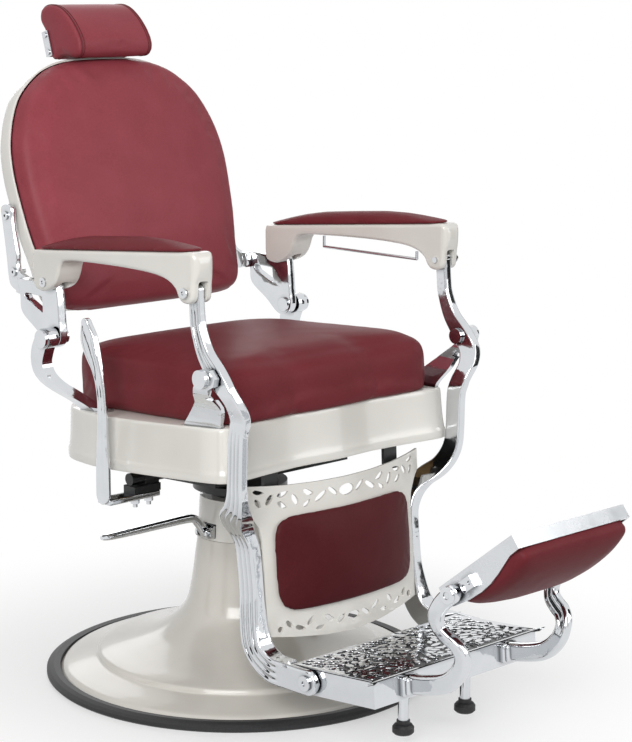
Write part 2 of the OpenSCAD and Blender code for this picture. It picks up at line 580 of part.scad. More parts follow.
module headrest_pin() color(chrome) pin_x(-bar_w / 2 - 11, bar_w / 2 + 11, 3, tilt_at);
module headrest_screws() color(chrome) pair() for (s = [462, 492]) {
  pin_x(head_hl + 0.6, head_hl + 3.6, 2.5, bk(26, s));
  pin_x(head_hl + 3.6, head_hl + 5.6, 4.5, bk(26, s));
}

// ---------- armrests ----------
rest_yaw = atan2(rest_front - rest_rear, piv_c[0] - piv_d[0]);
rest_mid = [(rest_front + rest_rear) / 2, (piv_c[0] + piv_d[0]) / 2];
rest_line = [[189, 725], [-213, 760], [-227, 758.5], [-235, 751], [-237, 738], [-234, 724],
  [-230, 712], [-229, 700], [-226, 689], [-218, 683], [-206, 681.5], [-194, 683.5], [-186, 690],
  [-179, 702], [-160, 713], [-126, 719], [-60, 721], [35, 719], [93, 714], [106, 705],
  [112, 690], [122, 675], [140, 665], [166, 659], [186, 663], [191, 676], [192, 716]];
module rest_turn() translate([rest_mid[0], rest_mid[1], 0]) rotate([0, 0, rest_yaw])
  translate([0, -rest_mid[1], 0]) children();
module armrest() color(cream) difference() {
  rest_turn() along_x(-rest_w / 2, rest_w / 2)
    polygon([for (p = reverse(rest_line)) [p[0], p[1] + rise]]);
  translate([leg_in - link_gap, -260, 600 + rise]) cube([arm_t + 2 * link_gap, 69, 116]);
  translate([back_in - link_gap, 128, 600 + rise]) cube([arm_t + 2 * link_gap, 80, 94]);
  pin_x(100, 400, arm_pin_r, piv_d);
  pin_x(100, 400, arm_pin_r, piv_c);
}
module armrest_left() color(cream) difference() {
  armrest();
  towel_rod();
}
module armrest_right() mirrored() armrest();
module arm_pins() color(chrome) for (q = [[piv_d, rest_front], [piv_c, rest_rear]]) {
  difference() {
    union() {
      pin_x(q[1] - rest_w / 2 + 2, q[1] + rest_w / 2, arm_pin_r, q[0]);
      pin_x(q[1] + rest_w / 2 + 0.8, q[1] + rest_w / 2 + 3, 8, q[0]);
      pin_x(q[1] + rest_w / 2, q[1] + rest_w / 2 + 1, arm_pin_r, q[0]);
    }
    pin_x(q[1] + rest_w / 2 + 1.8, q[1] + rest_w / 2 + 4, 3, q[0]);
  }
}
module arm_pins_left() arm_pins();
module arm_pins_right() mirrored() arm_pins();
rest_slope = atan2(35, 402);
pad_outline = ring(both_halves([[0, -200], [10, -197], [19, -186], [22.5, -165], [23, -100],
  [23, 0], [23, 100], [22.5, 165], [19, 186], [10, 197], [0, 200]]), 2);
module arm_pad() color(leather) rest_turn() translate([0, -11, 742.4 + rise])
  rotate([-rest_slope, 0, 0]) translate([0, 0, pad_gap])
  loft(concat([lift_ring(grow(pad_outline, -1.5), 0), lift_ring(pad_outline, 1.5),
    lift_ring(grow(pad_outline, 0.6), 4)],
    [for (f = [0.97, 0.88, 0.72, 0.5, 0.25]) [for (p = pad_outline)
      [p[0] * f, p[1] * (0.55 * f + 0.45 * pow(f, 0.5)), 4 + (rest_crown - 4)
        * (1 - pow(f, 2.6)) * (1 - 0.5 * pow(abs(p[1] * f) / 200, 2))]]]));
module arm_pad_left() arm_pad();
module arm_pad_right() mirrored() arm_pad();
bar_x = rest_mid[0] - rest_w / 2 + 4;
towel_r = 2.5;
towel_ends = [[50, 717], [-172, 711]];   // where its legs enter the armrest, as [y, z]
towel_z = 698 + rise;
module towel_bar() color(chrome) towel_rod();
module towel_rod() {
  for (q = towel_ends) translate([bar_x, q[0], towel_z]) {
    cylinder(r = towel_r, h = q[1] + rise - towel_z);
    sphere(r = towel_r);
  }
  translate([bar_x, towel_ends[0][0], towel_z]) rotate([90, 0, 0])
    cylinder(r = towel_r, h = towel_ends[0][0] - towel_ends[1][0]);
}

// ---------- leg frame ----------
leg_side = ribbon(smooth([for (p = [[-206, 699, 21], [-203, 664, 23], [-206, 640, 24],
  [-221, 606, 27], [-247, 577, 33], [-267, 553, 32], [-275, 531, 32], [-271, 505, 32],
  [-265, 480, 32], [-264, 420, 32], [-260, 386, 34], [-246, 358, 36], [-224, 336, 38], [-216, 306, 38],
  [-222, 240, 39], [-229, 180, 40], [-245, 130, 42], [-278, 108, 42], [-315, 106, 41],
  [-365, 107, 38]]) [p[0], p[1] + rise, p[2]]], 3));
leg_foot_in = tray_hw + 1.8;
leg_low = tray_hw - 4;           // centre of the lower leg
leg_foot = tray_hw - 2;          // centre of the leg's foot
leg_step = rest_front - leg_low; // how far the lower leg stands in from the upper one
bolt_out = tray_hw + 13;         // outer face of the leg's foot
leg_front = ribbon(smooth([for (p = [[rest_front, 740, arm_t], [rest_front, 640, arm_t],
  [rest_front, 578, arm_t], [rest_front - 0.02 * leg_step, 556, arm_t],
  [rest_front - 0.13 * leg_step, 534, arm_t],
  [rest_front - 0.26 * leg_step, 514, arm_t], [rest_front - 0.31 * leg_step, 494, arm_t],
  [rest_front - 0.31 * leg_step, 420, arm_t], [rest_front - 0.33 * leg_step, 396, 16.5],
  [rest_front - 0.4 * leg_step, 371, 18], [rest_front - 0.53 * leg_step, 350, 21],
  [rest_front - 0.72 * leg_step, 331, 23], [rest_front - 0.89 * leg_step, 312, 23], [leg_low, 290, 22], [leg_low - 2, 266, 22],
  [leg_low - 2, 205, 22], [leg_foot, 140, 30], [leg_foot, 104, 30], [leg_foot, 70, 30]])
  [p[0], p[1] + rise, p[2]]], 3));
module leg_arm() color(chrome) difference() {
  union() {
    intersection() {
      along_x(120, 320) polygon(leg_side);
      along_y(-440, -120) polygon(leg_front);
    }
    pin_x(leg_in, leg_out, 12.5, piv_d);
    pin_x(leg_in, leg_out, 18, piv_a);
    pin_x(leg_foot_in, bolt_out, 20.5, piv_e);
  }
  translate([100, -480, 40 + rise]) cube([leg_foot_in - 100, 162, 120]);
  pin_x(leg_in - 1, leg_out + 1, arm_pin_r + pin_fit, piv_d);
  pin_x(leg_in - 1, leg_out + 1, pin_r + pin_fit, piv_a);
  pin_x(leg_in - 30, leg_in, 14, piv_a);
  pin_x(100, 300, 7 + pin_fit, piv_e);
}
module leg_arm_left() leg_arm();
module leg_arm_right() mirrored() leg_arm();
leg_low_in = leg_low - 13;       // inner face of the lower leg
module cross_tube() color(black) difference() {
  pin_x(-leg_low_in, leg_low_in, 11, [-219, 268 + rise]);
  pin_x(-leg_low_in - 1, leg_low_in + 1, 8, [-219, 268 + rise]);
}
panel_r = 640;
panel_bow = 22;
module panel_place() translate([0, -241, 258 + rise]) rotate([-5.2, 0, 0]) children();
panel_half = [[0, -131], [60, -128], [120, -120], [leg_low_in - 0.3, -112], [leg_low_in - 0.3, 40],
  [leg_low_in + 4, 62], [leg_low_in + 16, 82], [leg_low_in + 31, 98], [leg_low_in + 32, 131],
  [leg_low_in + 8, 128], [120, 123], [60, 120], [0, 119]];
module leaf(x, z, a, b, rot) polygon(place(ellipse(a, b, 14), rot, [x, z]));
module petal(x, z, l, w, rot) polygon(place([[-l, 0], [-l * 0.5, -w * 0.8], [l * 0.2, -w],
  [l * 0.8, -w * 0.5], [l, 0.2 * w], [l * 0.6, w * 0.9], [-l * 0.1, w * 0.7],
  [-l * 0.7, w * 0.4]], rot, [x, z]));
module lace_half() {
  leaf(30, 100, 12, 4, 35);
  leaf(56, 96, 14, 4.5, -28);
  petal(80, 106, 11, 5, 20);
  petal(84, 89, 9, 4, -35);
  leaf(106, 98, 10, 5, 60);
  petal(128, 110, 11, 4.5, -15);
  petal(130, 93, 10, 5, 30);
  leaf(152, 104, 10, 4.5, -50);
  petal(170, 118, 10, 4, 10);
  leaf(172, 101, 8, 4, 60);
  leaf(28, -108, 11, 4, -30);
  petal(52, -102, 11, 5, 25);
  petal(72, -113, 9, 3.5, -10);
  leaf(90, -99, 9, 4, -45);
  petal(110, -107, 10, 4.5, 15);
  leaf(130, -98, 8, 4, 50);
  leaf(146, -104, 5, 5, 0);
}
module calf_panel() color(cream) panel_place() difference() {
  intersection() {
    translate([0, panel_r - panel_bow, -200]) difference() {
      cylinder(r = panel_r, h = 400, $fn = 96);
      translate([0, 0, -1]) cylinder(r = panel_r - 4, h = 402, $fn = 96);
    }
    along_y(-60, 30) polygon(both_halves(panel_half));
  }
  along_y(-60, 40) {
    leaf(0, 98, 17, 9, 0);
    leaf(0, -108, 14, 7, 0);
    lace_half();
    mirror([1, 0]) lace_half();
  }
}
calf_half = [[0, -80], [70, -79], [118, -77], [140, -68], [149, -46], [151, 0], [149, 46],
  [141, 66], [118, 75], [70, 75], [0, 74]];
calf_plan = ring(both_halves(calf_half), 2);
// the pad follows the bow of its panel
function on_panel(p) = let (r = panel_r + p[2])
  [p[0], panel_r - panel_bow - sqrt(max(r * r - p[0] * p[0], 1)), p[1]];
module calf_pad() color(leather) panel_place()
  loft([for (R = concat([for (f = [0.2, 0.4, 0.6, 0.8]) crown_ring(calf_plan, [0, 0], f, pad_gap + 0.25,
    0)], [lift_ring(grow(calf_plan, -2), pad_gap), lift_ring(calf_plan, 3),
    lift_ring(grow(calf_plan, 0.8), 7)],
    [for (f = [0.97, 0.9, 0.76, 0.55, 0.28]) crown_ring(calf_plan, [0, 0], f, 9, 11)]))
    [for (p = R) on_panel(p)]]);

// ---------- foot tray ----------
module tray_place() translate([0, piv_e[0], piv_e[1]]) rotate([-5, 0, 0]) children();
tray_top = tray_h / 2 - 1.5;
tray_f = -134;
tray_b = 38;
module foot_tray() color(chrome) difference() {
  tray_place() {
    difference() {
      translate([-tray_hw, tray_f, tray_top - tray_h]) cube([2 * tray_hw, tray_b - tray_f,
        tray_h]);
      translate([-tray_hw + 4, tray_f + 4, tray_top - tray_h - 1])
        cube([2 * tray_hw - 8, tray_b - tray_f - 8, tray_h - 3]);
    }
    for (x = [-1, 1]) translate([x * 71, -88, tray_top - 24]) cylinder(r = 13, h = 22);
    for (i = [-3 : 3], j = [-1 : 1]) translate([i * 49, -48 + j * 50, tray_top])
      difference() {
        cylinder(r = 20, h = 1.4);
        translate([0, 0, -1]) cylinder(r = 16, h = 5);
      }
    for (i = [-3 : 3], j = [-1 : 1]) translate([i * 49, -48 + j * 50, tray_top])
      cylinder(r = 8, h = 1.4);
  }
  pin_x(-250, 250, 7, piv_e);
  for (x = [-71, 71]) translate([x, post_y, 0]) cylinder(r = 8.5, h = post_top);
}
post_y = -451;
post_top = 124 + rise;
foot_z = foot_lift;
module foot_posts() color(chrome) for (x = [-71, 71]) translate([x, post_y, foot_z + 14])
  cylinder(r = 8.5, h = post_top - foot_z - 14);
module rubber_feet() color(black) for (x = [-71, 71]) translate([x, post_y, foot_z])
  rotate_extrude() polygon([[0, 0], [14, 0], [17, 3], [17, 11], [14, 15], [10.5, 17],
    [10.5, 22], [8.5, 22], [8.5, 14], [0, 14]]);
module foot_bolts() color(chrome) pair() difference() {
  union() {
    pin_x(tray_hw - 4, bolt_out, 7, piv_e);
    pin_x(bolt_out + 0.6, bolt_out + 4, 12, piv_e);
    pin_x(tray_hw - 12, tray_hw - 4, 11, piv_e);
  }
  pin_x(bolt_out + 2.5, bolt_out + 6, 4, piv_e);
}
tray_front_y = piv_e[0] + tray_f * cos(5);
goose_side = ribbon(smooth([for (p = [[-488, 119, 30], [-540, 128, 30], [-578, 141, 30],
  [-602, 164, 27], [-610, 187, 25], [-603, 204, 24], [-588, 214, 23], [-575, 226, 23],
  [-573, 245, 24], [-585, 268, 25], [-606, 288, 26]]) [p[0], p[1] + rise, p[2]]], 3));
eye_in = board_hw + 2.5;         // inner face of a gooseneck's eye
eye_out = eye_in + 16;
eye_mid = eye_in + 8;
goose_front = ribbon(smooth([for (p = [[114, 80, 17], [114, 170, 17], [118, 195, 17],
  [eye_mid - 9.5, 225, 17], [eye_mid - 1.5, 252, 17], [eye_mid, 275, 16],
  [eye_mid, 330, 16]]) [p[0], p[1] + rise, p[2]]], 3));
module gooseneck() color(chrome) difference() {
  union() {
    intersection() {
      along_x(90, eye_out + 15) polygon(goose_side);
      along_y(-700, -480) polygon(goose_front);
    }
    pin_x(eye_in, eye_out, 14, piv_f);
    tray_place() translate([96, tray_f - 9, tray_top - 33]) cube([36, 9, 30]);
  }
  tray_place() translate([0, tray_f, -100]) cube([200, 100, 200]);
  pin_x(eye_in - 10, eye_out + 10, 6 + pin_fit, piv_f);
}
module gooseneck_left() gooseneck();
module gooseneck_right() mirrored() gooseneck();

// ---------- foot board ----------
board_dir = 142;                 // direction of the board's length, from +Y toward +Z
function bd(a, b) = [piv_f[0] + a * cos(board_dir) + b * sin(board_dir),
  piv_f[1] + a * sin(board_dir) - b * cos(board_dir)];
board_top = 145;
board_low = -28;
board_face = 22;
cheek = [[board_top, board_face], [board_top, 0], [124, -1], [89, -12.5], [66, -18], [43, -20],
  [12, -18.5], [-18, -13.6], [board_low, -4], [board_low, board_face]];
module board_frame() color(chrome) difference() {
  union() {
    along_x(-board_hw, board_hw) polygon([for (p = cheek) bd(p[0], p[1])]);
    for (i = [0 : 7]) along_x(-board_hw + 12, board_hw - 12)
      polygon([bd(8 + 16 * i, 22), bd(13 + 16 * i, 22), bd(12 + 16 * i, 23.2),
        bd(9 + 16 * i, 23.2)]);
  }
  along_x(-board_hw + 4, board_hw - 4) polygon([bd(board_top - 4, board_face - 4),
    bd(board_top - 4, -60), bd(board_low - 40, -60), bd(board_low - 40, -20),
    bd(board_low + 4, -20), bd(board_low + 4, board_face - 4)]);
  pin_x(-200, 200, 6, piv_f);
}
pad_half_w = board_hw - 4 - pad_gap;
pad_hi = board_top - 4 - pad_gap;
board_pad_half = [[0, -22], [50, -22], [92, -20], [pad_half_w - 10, -10],
  [pad_half_w - 1, 14], [pad_half_w, 50], [pad_half_w, 100], [pad_half_w - 2, 126],
  [pad_half_w - 12, pad_hi - 2], [60, pad_hi], [0, pad_hi]];
board_pad_plan = ring(both_halves(board_pad_half), 2);
function pad_depth(a) = 19 + 27 * sin(max(0, min(180, 180 * (190 - a) / 245)));
function past_end(a, g) = a + g * max(0, (a - 100) / 40);
function on_board(p) = let (q = bd(p[1], board_face - 4 - pad_gap - p[2])) [p[0], q[0], q[1]];
module board_pad() color(leather) difference() {
  loft([for (R = [for (e = [[-1.5, 0, 0], [0, 0.15, 0], [0, 0.5, 0], [-1.5, 0.8, 6], [-5, 0.96, 6]])
      [for (p = grow(board_pad_plan, e[0]))
        [p[0], past_end(p[1], e[2]), pad_depth(p[1]) * e[1]]]]) [for (p = R)
      on_board(p)], for (f = [0.86, 0.7, 0.46, 0.22]) [for (p = board_pad_plan)
      let (x = p[0] * f, a = 60 + (p[1] - 60) * f)
      on_board([x, a, pad_depth(a) + 16 * (1 - pow(f, 2.8))])]]);
  pin_x(-200, 200, 13, piv_f);
}
module board_hinges() color(chrome) pair() {
  difference() {
    along_x(board_hw, board_hw + 8) polygon([bd(19, -9), bd(44, -9), bd(44, 9), bd(19, 9)]);
    for (a = [25, 38]) pin_x(board_hw + 6.5, board_hw + 9, 3, bd(a, 0));
  }
  difference() {
    pin_x(board_hw, eye_in - 0.3, 9, piv_f);
    pin_x(board_hw - 1, eye_in, 6, piv_f);
  }
}
module board_pins() color(chrome) pair() {
  pin_x(board_hw - 8, eye_out + 0.3, 6, piv_f);
  difference() {
    pin_x(eye_out + 0.3, eye_out + 4, 12.5, piv_f);
    pin_x(eye_out + 3, eye_out + 5, 6, piv_f);
  }
}

base_plate();
rubber_ring();
base_cover();
pump_bush();
pump_cylinder();
column_sleeve();
lever_clevis();
clevis_pin();
pump_lever();
lift_ram();
seat_hub();
seat_frame();
seat_board();
seat_cushion();
apron();
front_bracket_right();
front_bracket_left();
rear_arm_right();
rear_arm_left();
front_pivot_pins();
rear_pivot_pins();
bracket_screws();
recline_lever();
recline_shaft();
lever_bolts();
back_shell();
back_board();
back_cushion();
side_bracket_right();
side_bracket_left();
back_screws();
headrest_guide();
headrest_bar();
headrest_yoke();
headrest_pad();
headrest_screws();
headrest_pin();
armrest_right();
armrest_left();
arm_pad_right();
arm_pad_left();
arm_pins_right();
arm_pins_left();
towel_bar();
leg_arm_right();
leg_arm_left();
cross_tube();
calf_panel();
calf_pad();
foot_tray();
gooseneck_right();
gooseneck_left();
foot_posts();
rubber_feet();
foot_bolts();
board_frame();
board_pad();
board_hinges();
board_pins();
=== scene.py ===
# %% [markdown]
# # A hydraulic barber chair
# This lesson dresses the measured model of a barber chair: its burgundy leatherette, its cream
# enamel and its polished chrome. The measured model is loaded first as a fixed frame. Every
# piece made here sits where the frame says, and moves with the body that carries it.
# Lengths below are written in millimetres, as a workshop drawing has them, and one helper
# turns them into Blender's metres.

import math
from contextlib import contextmanager

import bmesh
import bpy
import numpy as np
from mathutils import Matrix, Vector
from mathutils.bvhtree import BVHTree


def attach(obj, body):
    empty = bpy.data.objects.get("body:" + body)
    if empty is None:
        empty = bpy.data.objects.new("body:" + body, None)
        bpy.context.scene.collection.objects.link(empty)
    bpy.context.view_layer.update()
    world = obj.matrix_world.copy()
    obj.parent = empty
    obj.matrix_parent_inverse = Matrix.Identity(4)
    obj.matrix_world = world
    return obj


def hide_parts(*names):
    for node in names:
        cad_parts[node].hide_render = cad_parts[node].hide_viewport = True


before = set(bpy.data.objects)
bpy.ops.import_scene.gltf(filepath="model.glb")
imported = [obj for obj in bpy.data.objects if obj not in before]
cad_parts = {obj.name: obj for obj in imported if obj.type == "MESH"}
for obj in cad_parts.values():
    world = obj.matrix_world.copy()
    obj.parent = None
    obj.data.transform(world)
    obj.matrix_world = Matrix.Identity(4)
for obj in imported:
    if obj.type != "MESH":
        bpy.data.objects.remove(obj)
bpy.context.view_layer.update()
MM = 0.001
scene = bpy.context.scene


def placed(name, data):
    """A new object in the scene."""
    made = bpy.data.objects.new(name, data)
    scene.collection.objects.link(made)
    return made


# %% [markdown]
# ## The camera
# A long lens keeps the chair's proportions true, as a catalogue picture does. The camera
# stands to the front and right of the sitter, a little above the armrests. Its three axes are
# built from a heading, a downward pitch and a small roll, which is easier to read than three
# Euler angles.

# %% Camera
IMAGE_W, IMAGE_H = 632, 742
FILM = 36  # mm, along the picture's longer side
camera_at = Vector((-2303.9, -2544.6, 1162.4)) * MM
heading, pitch, roll = math.radians(44.23), math.radians(10.56), math.radians(0.267)
focal_px = 2087.0
centre_px = (314.2, 366.3)

forward = Vector((math.sin(heading) * math.cos(pitch), math.cos(heading) * math.cos(pitch),
                  -math.sin(pitch)))
right = Vector((math.cos(heading), -math.sin(heading), 0))
up = right.cross(forward)
right, up = (right * math.cos(roll) + up * math.sin(roll),
             up * math.cos(roll) - right * math.sin(roll))
camera = placed("camera", bpy.data.cameras.new("camera"))
axes = Matrix((right, up, -forward)).transposed().to_4x4()
camera.matrix_world = Matrix.Translation(camera_at) @ axes
camera.data.sensor_width = FILM
camera.data.lens = focal_px * FILM / IMAGE_H
camera.data.shift_x = (IMAGE_W / 2 - centre_px[0]) / IMAGE_H
camera.data.shift_y = (centre_px[1] - IMAGE_H / 2) / IMAGE_H
camera.data.clip_end = 60
scene.camera = camera
print("lens in mm:", round(camera.data.lens, 1))

# %% [markdown]
# ## Small tools for shapes
# Most outlines of the chair are smooth curves through a few measured points. `smooth` runs a
# Catmull-Rom curve through an open list of points and `ring` through a closed one. `grow`
# moves a closed outline outward. `skin` closes a row of rings into a mesh, and `dress` gives a
# piece its material, a body to ride on and the frame nodes that it stands for.


# %% Curves
def curve_point(a, b, c, d, t):
    """The point at share t between b and c, on the smooth curve through all four."""
    a, b, c, d = (np.asarray(p, float) for p in (a, b, c, d))
    return 0.5 * (2 * b + (c - a) * t + (2 * a - 5 * b + 4 * c - d) * t * t
                  + (3 * b - a - 3 * c + d) * t ** 3)


def smooth(points, steps=6):
    """Open curve through the points."""
    last = len(points) - 1
    made = [curve_point(points[max(i - 1, 0)], points[i], points[i + 1],
                        points[min(i + 2, last)], k / steps)
            for i in range(last) for k in range(steps)]
    return np.array(made + [np.asarray(points[-1], float)])


def ring(points, steps=6):
    """Closed curve through the points."""
    n = len(points)
    return np.array([curve_point(points[i - 1], points[i], points[(i + 1) % n],
                                 points[(i + 2) % n], k / steps)
                     for i in range(n) for k in range(steps)])


def grow(outline, distance):
    """A counter-clockwise outline moved outward by the distance."""
    step = np.roll(outline, -1, 0) - np.roll(outline, 1, 0)
    step /= np.maximum(np.linalg.norm(step, axis=1), 1e-9)[:, None]
    return outline + np.column_stack([step[:, 1], -step[:, 0]]) * distance


def both_halves(half):
    """A right half outline, from x = 0 to x = 0, with its mirror image."""
    return list(half) + [(-x, y) for x, y in half[-2:0:-1]]


# %% Objects
@contextmanager
def editing(mesh):
    """Opens a mesh for editing, then writes it back."""
    bm = bmesh.new()
    bm.from_mesh(mesh)
    yield bm
    bm.to_mesh(mesh)
    bm.free()


def in_metres(matrix):
    """A placement whose shift is turned from millimetres into metres."""
    made = matrix.copy()
    made.translation = made.translation * MM
    return made


def skin(name, rings, caps=True):
    """A closed skin over rings of equal point count, with a fan at each end."""
    rings = np.asarray(rings, float)
    m, k = rings.shape[:2]
    points = rings.reshape(-1, 3).tolist()
    faces = [(i * k + j, i * k + (j + 1) % k, (i + 1) * k + (j + 1) % k, (i + 1) * k + j)
             for i in range(m - 1) for j in range(k)]
    if caps:
        for row in (0, m - 1):
            points.append(rings[row].mean(0).tolist())
            faces += [(row * k + j, row * k + (j + 1) % k, len(points) - 1) for j in range(k)]
    mesh = bpy.data.meshes.new(name)
    mesh.from_pydata((np.asarray(points) * MM).tolist(), [], faces)
    mesh.validate()
    with editing(mesh) as bm:
        bmesh.ops.recalc_face_normals(bm, faces=bm.faces)
    mesh.shade_smooth()
    return placed(name, mesh)


def settle(piece):
    """Applies a piece's modifiers to its mesh."""
    bpy.context.view_layer.update()
    seen = piece.evaluated_get(bpy.context.evaluated_depsgraph_get())
    mesh = bpy.data.meshes.new_from_object(seen)
    piece.modifiers.clear()
    piece.data = mesh
    return piece


def crease(piece, degrees=32):
    """Smooth shading that keeps edges sharper than the angle."""
    piece.data.shade_smooth()
    piece.data.set_sharp_from_angle(angle=math.radians(degrees))
    return piece


def dress(piece, material, body, nodes=()):
    """Gives a piece its material and its body, and hides the frame nodes that it stands for."""
    piece.data.materials.clear()
    piece.data.materials.append(material)
    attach(piece, body)
    if nodes:
        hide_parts(*nodes)
    return piece


def twin(piece, name):
    """The mirror image of a piece, across the chair's middle."""
    mesh = piece.data.copy()
    mesh.transform(Matrix.Scale(-1, 4, (1, 0, 0)))
    mesh.flip_normals()
    return placed(name, mesh)


def dress_pair(left, right_name, degrees, material, body, stands_for):
    """Dresses a left piece and its mirror image; {} in the names becomes the side."""
    for piece, side in ((left, "left"), (twin(left, right_name), "right")):
        dress(crease(piece, degrees), material, body.format(side), [stands_for.format(side)])


# %% [markdown]
# ## Materials
# One function adds a node, sets it and links it, and one turns a written colour into the
# linear numbers that shaders use. Texture coordinates are the object's own, in metres, so a
# scale of 1000 / size gives a pattern of that size in millimetres.


# %% Node helper
def linear(colour):
    """#rrggbb as linear RGBA."""
    parts = [int(colour[i:i + 2], 16) / 255 for i in (1, 3, 5)]
    return [c / 12.92 if c <= 0.04045 else ((c + 0.055) / 1.055) ** 2.4 for c in parts] + [1.0]


def node(owner, kind, inputs=None, **settings):
    """Adds a node, sets its properties, and gives its inputs a value or a link."""
    made = owner.node_tree.nodes.new(kind)
    for key, value in settings.items():
        setattr(made, key, value)
    for key, value in (inputs or {}).items():
        if isinstance(value, bpy.types.NodeSocket):
            owner.node_tree.links.new(value, made.inputs[key])
        else:
            made.inputs[key].default_value = value
    return made


def finish_named(name, **sockets):
    """A new material, its shader with constant values set on it, and the object's coordinates."""
    material = bpy.data.materials.new(name)
    material.use_nodes = True
    shader = material.node_tree.nodes["Principled BSDF"]
    for key, value in sockets.items():
        shader.inputs[key.replace("_", " ")].default_value = value
    return material, shader, node(material, "ShaderNodeTexCoord").outputs["Object"]


def plug(material, source, shader, socket):
    """Links a node's output to a shader's socket."""
    material.node_tree.links.new(source, shader.inputs[socket])


def noise(material, place, size_mm, **inputs):
    """The grey value of a noise whose lumps have this size."""
    return node(material, "ShaderNodeTexNoise", {"Vector": place, "Scale": 1000 / size_mm,
                                                 **inputs}).outputs["Fac"]


def between(material, fac, low, high, ends=(0.0, 1.0)):
    """A colour that runs from low to high as the grey value crosses the ends."""
    ramp = node(material, "ShaderNodeValToRGB", {"Fac": fac})
    for element, end, colour in zip(ramp.color_ramp.elements, ends, (low, high)):
        element.position, element.color = end, linear(colour)
    return ramp.outputs["Color"]


def mapped(owner, value, low, high, ends=(0.0, 1.0), **settings):
    """A number that runs from low to high as the value crosses the ends."""
    return node(owner, "ShaderNodeMapRange", {"Value": value, 1: ends[0], 2: ends[1], 3: low,
                                              4: high}, **settings).outputs[0]


def bumped(material, height, strength, depth_mm, **inputs):
    """A surface normal that follows the grey value's hills."""
    return node(material, "ShaderNodeBump", {"Height": height, "Strength": strength,
                                             "Distance": depth_mm * MM, **inputs}).outputs[0]


# %% [markdown]
# ### Leatherette
# The pads are covered in PVC leatherette: a smooth coated cloth with an embossed grain. It
# gives a broad, satin highlight with slightly darker valleys. Its real grain is about 1 mm and
# would vanish in the render, so it is drawn at 2.2 mm. The seat, the armrests and the foot
# board use a darker copy of the same leatherette, and the calf pad a darker one still: painted
# shade for the lower pads, which stand in less light than the back and the headrest.


# %% Burgundy leatherette
def leatherette(name, low, high, gloss, grain_mm=2.2, mottle_mm=55, fleck_mm=3.5):
    """Embossed leatherette in two close tones."""
    material, shader, place = finish_named(name, IOR=1.5, Specular_IOR_Level=gloss)
    cells = node(material, "ShaderNodeTexVoronoi", {"Vector": place, "Scale": 1000 / grain_mm},
                 feature="DISTANCE_TO_EDGE")
    mottle = noise(material, place, mottle_mm, Detail=3.0)
    fleck = noise(material, place, fleck_mm, Detail=2.0)
    blend = node(material, "ShaderNodeMix", {0: 0.45, 2: mottle, 3: fleck})
    tone = between(material, blend.outputs[0], low, high, (0.32, 0.68))
    plug(material, tone, shader, "Base Color")
    plug(material, mapped(material, fleck, 0.42, 0.52), shader, "Roughness")
    emboss = node(material, "ShaderNodeMath", {0: cells.outputs["Distance"], 1: 0.22},
                  operation="MINIMUM")
    relief = bumped(material, emboss.outputs[0], 0.6, 0.3)
    plug(material, bumped(material, mottle, 0.10, 4, Normal=relief), shader, "Normal")
    return material


burgundy = leatherette("burgundy_pvc_leatherette", "#8a3b43", "#96434c", 0.2)
# Darker copies of the back's leatherette: painted shade for the seat, armrests and foot board, and
# deeper painted shade for the calf pad.
burgundy_painted_shade = leatherette("burgundy_leatherette_painted_shade", "#6a282d", "#732e34", 0.1)
burgundy_painted_deep_shade = leatherette("burgundy_leatherette_painted_deep_shade", "#4c191d", "#541f23", 0.1)

# %% [markdown]
# ### Welt
# The welt is the same leatherette, folded round a cord; its colour is drawn darker than the pads',
# as painted shade for its fold.

# %% Seam welt
welt_painted_shade, shader, place = finish_named("leatherette_welt_painted_shade", Roughness=0.46, IOR=1.5,
                                          Specular_IOR_Level=0.2)
fleck = noise(welt_painted_shade, place, 6, Detail=2.0)
# Darker tones than the pads: painted shade in the welt's fold.
plug(welt_painted_shade, between(welt_painted_shade, fleck, "#5f262b", "#722f34"), shader, "Base Color")
plug(welt_painted_shade, bumped(welt_painted_shade, fleck, 0.2, 0.6), shader, "Normal")

# %% [markdown]
# ### Cream enamel
# The base, the column, the seat's apron and the armrests carry a sprayed and baked cream
# enamel: a glossy coat over metal. Sprayed enamel shows a very faint orange peel, about 4 mm
# from crest to crest, and a breath of warm and cool in its colour. The base gets a darker copy
# of the cream, as painted shade for the base under the seat, and the back's moulded shell a
# shade lighter and less glossy.


# %% Enamel
def enamel(name, low, high, roughness, peel_mm, coat, cloud_mm=90):
    """Sprayed enamel under a clear coat."""
    material, shader, place = finish_named(name, IOR=1.5, Coat_Weight=coat, Coat_Roughness=0.06)
    cloud = noise(material, place, cloud_mm, Detail=2.0)
    peel = noise(material, place, peel_mm, Detail=1.0)
    plug(material, between(material, cloud, low, high, (0.3, 0.7)), shader, "Base Color")
    plug(material, mapped(material, cloud, roughness, roughness + 0.05), shader, "Roughness")
    plug(material, bumped(material, peel, 0.06, 0.4), shader, "Normal")
    return material


cream_enamel = enamel("baked_cream_enamel", "#e2dfd8", "#e8e5de", 0.16, 4, 0.5)
# A darker copy of the cream enamel: painted shade for the base, which lies under the seat.
cream_enamel_painted_shade = enamel("baked_cream_enamel_painted_shade", "#d4d0c8", "#dbd7cf", 0.16, 4, 0.35)
cream_mould = enamel("moulded_cream_shell", "#e4e1da", "#eae7e1", 0.24, 6, 0.25)
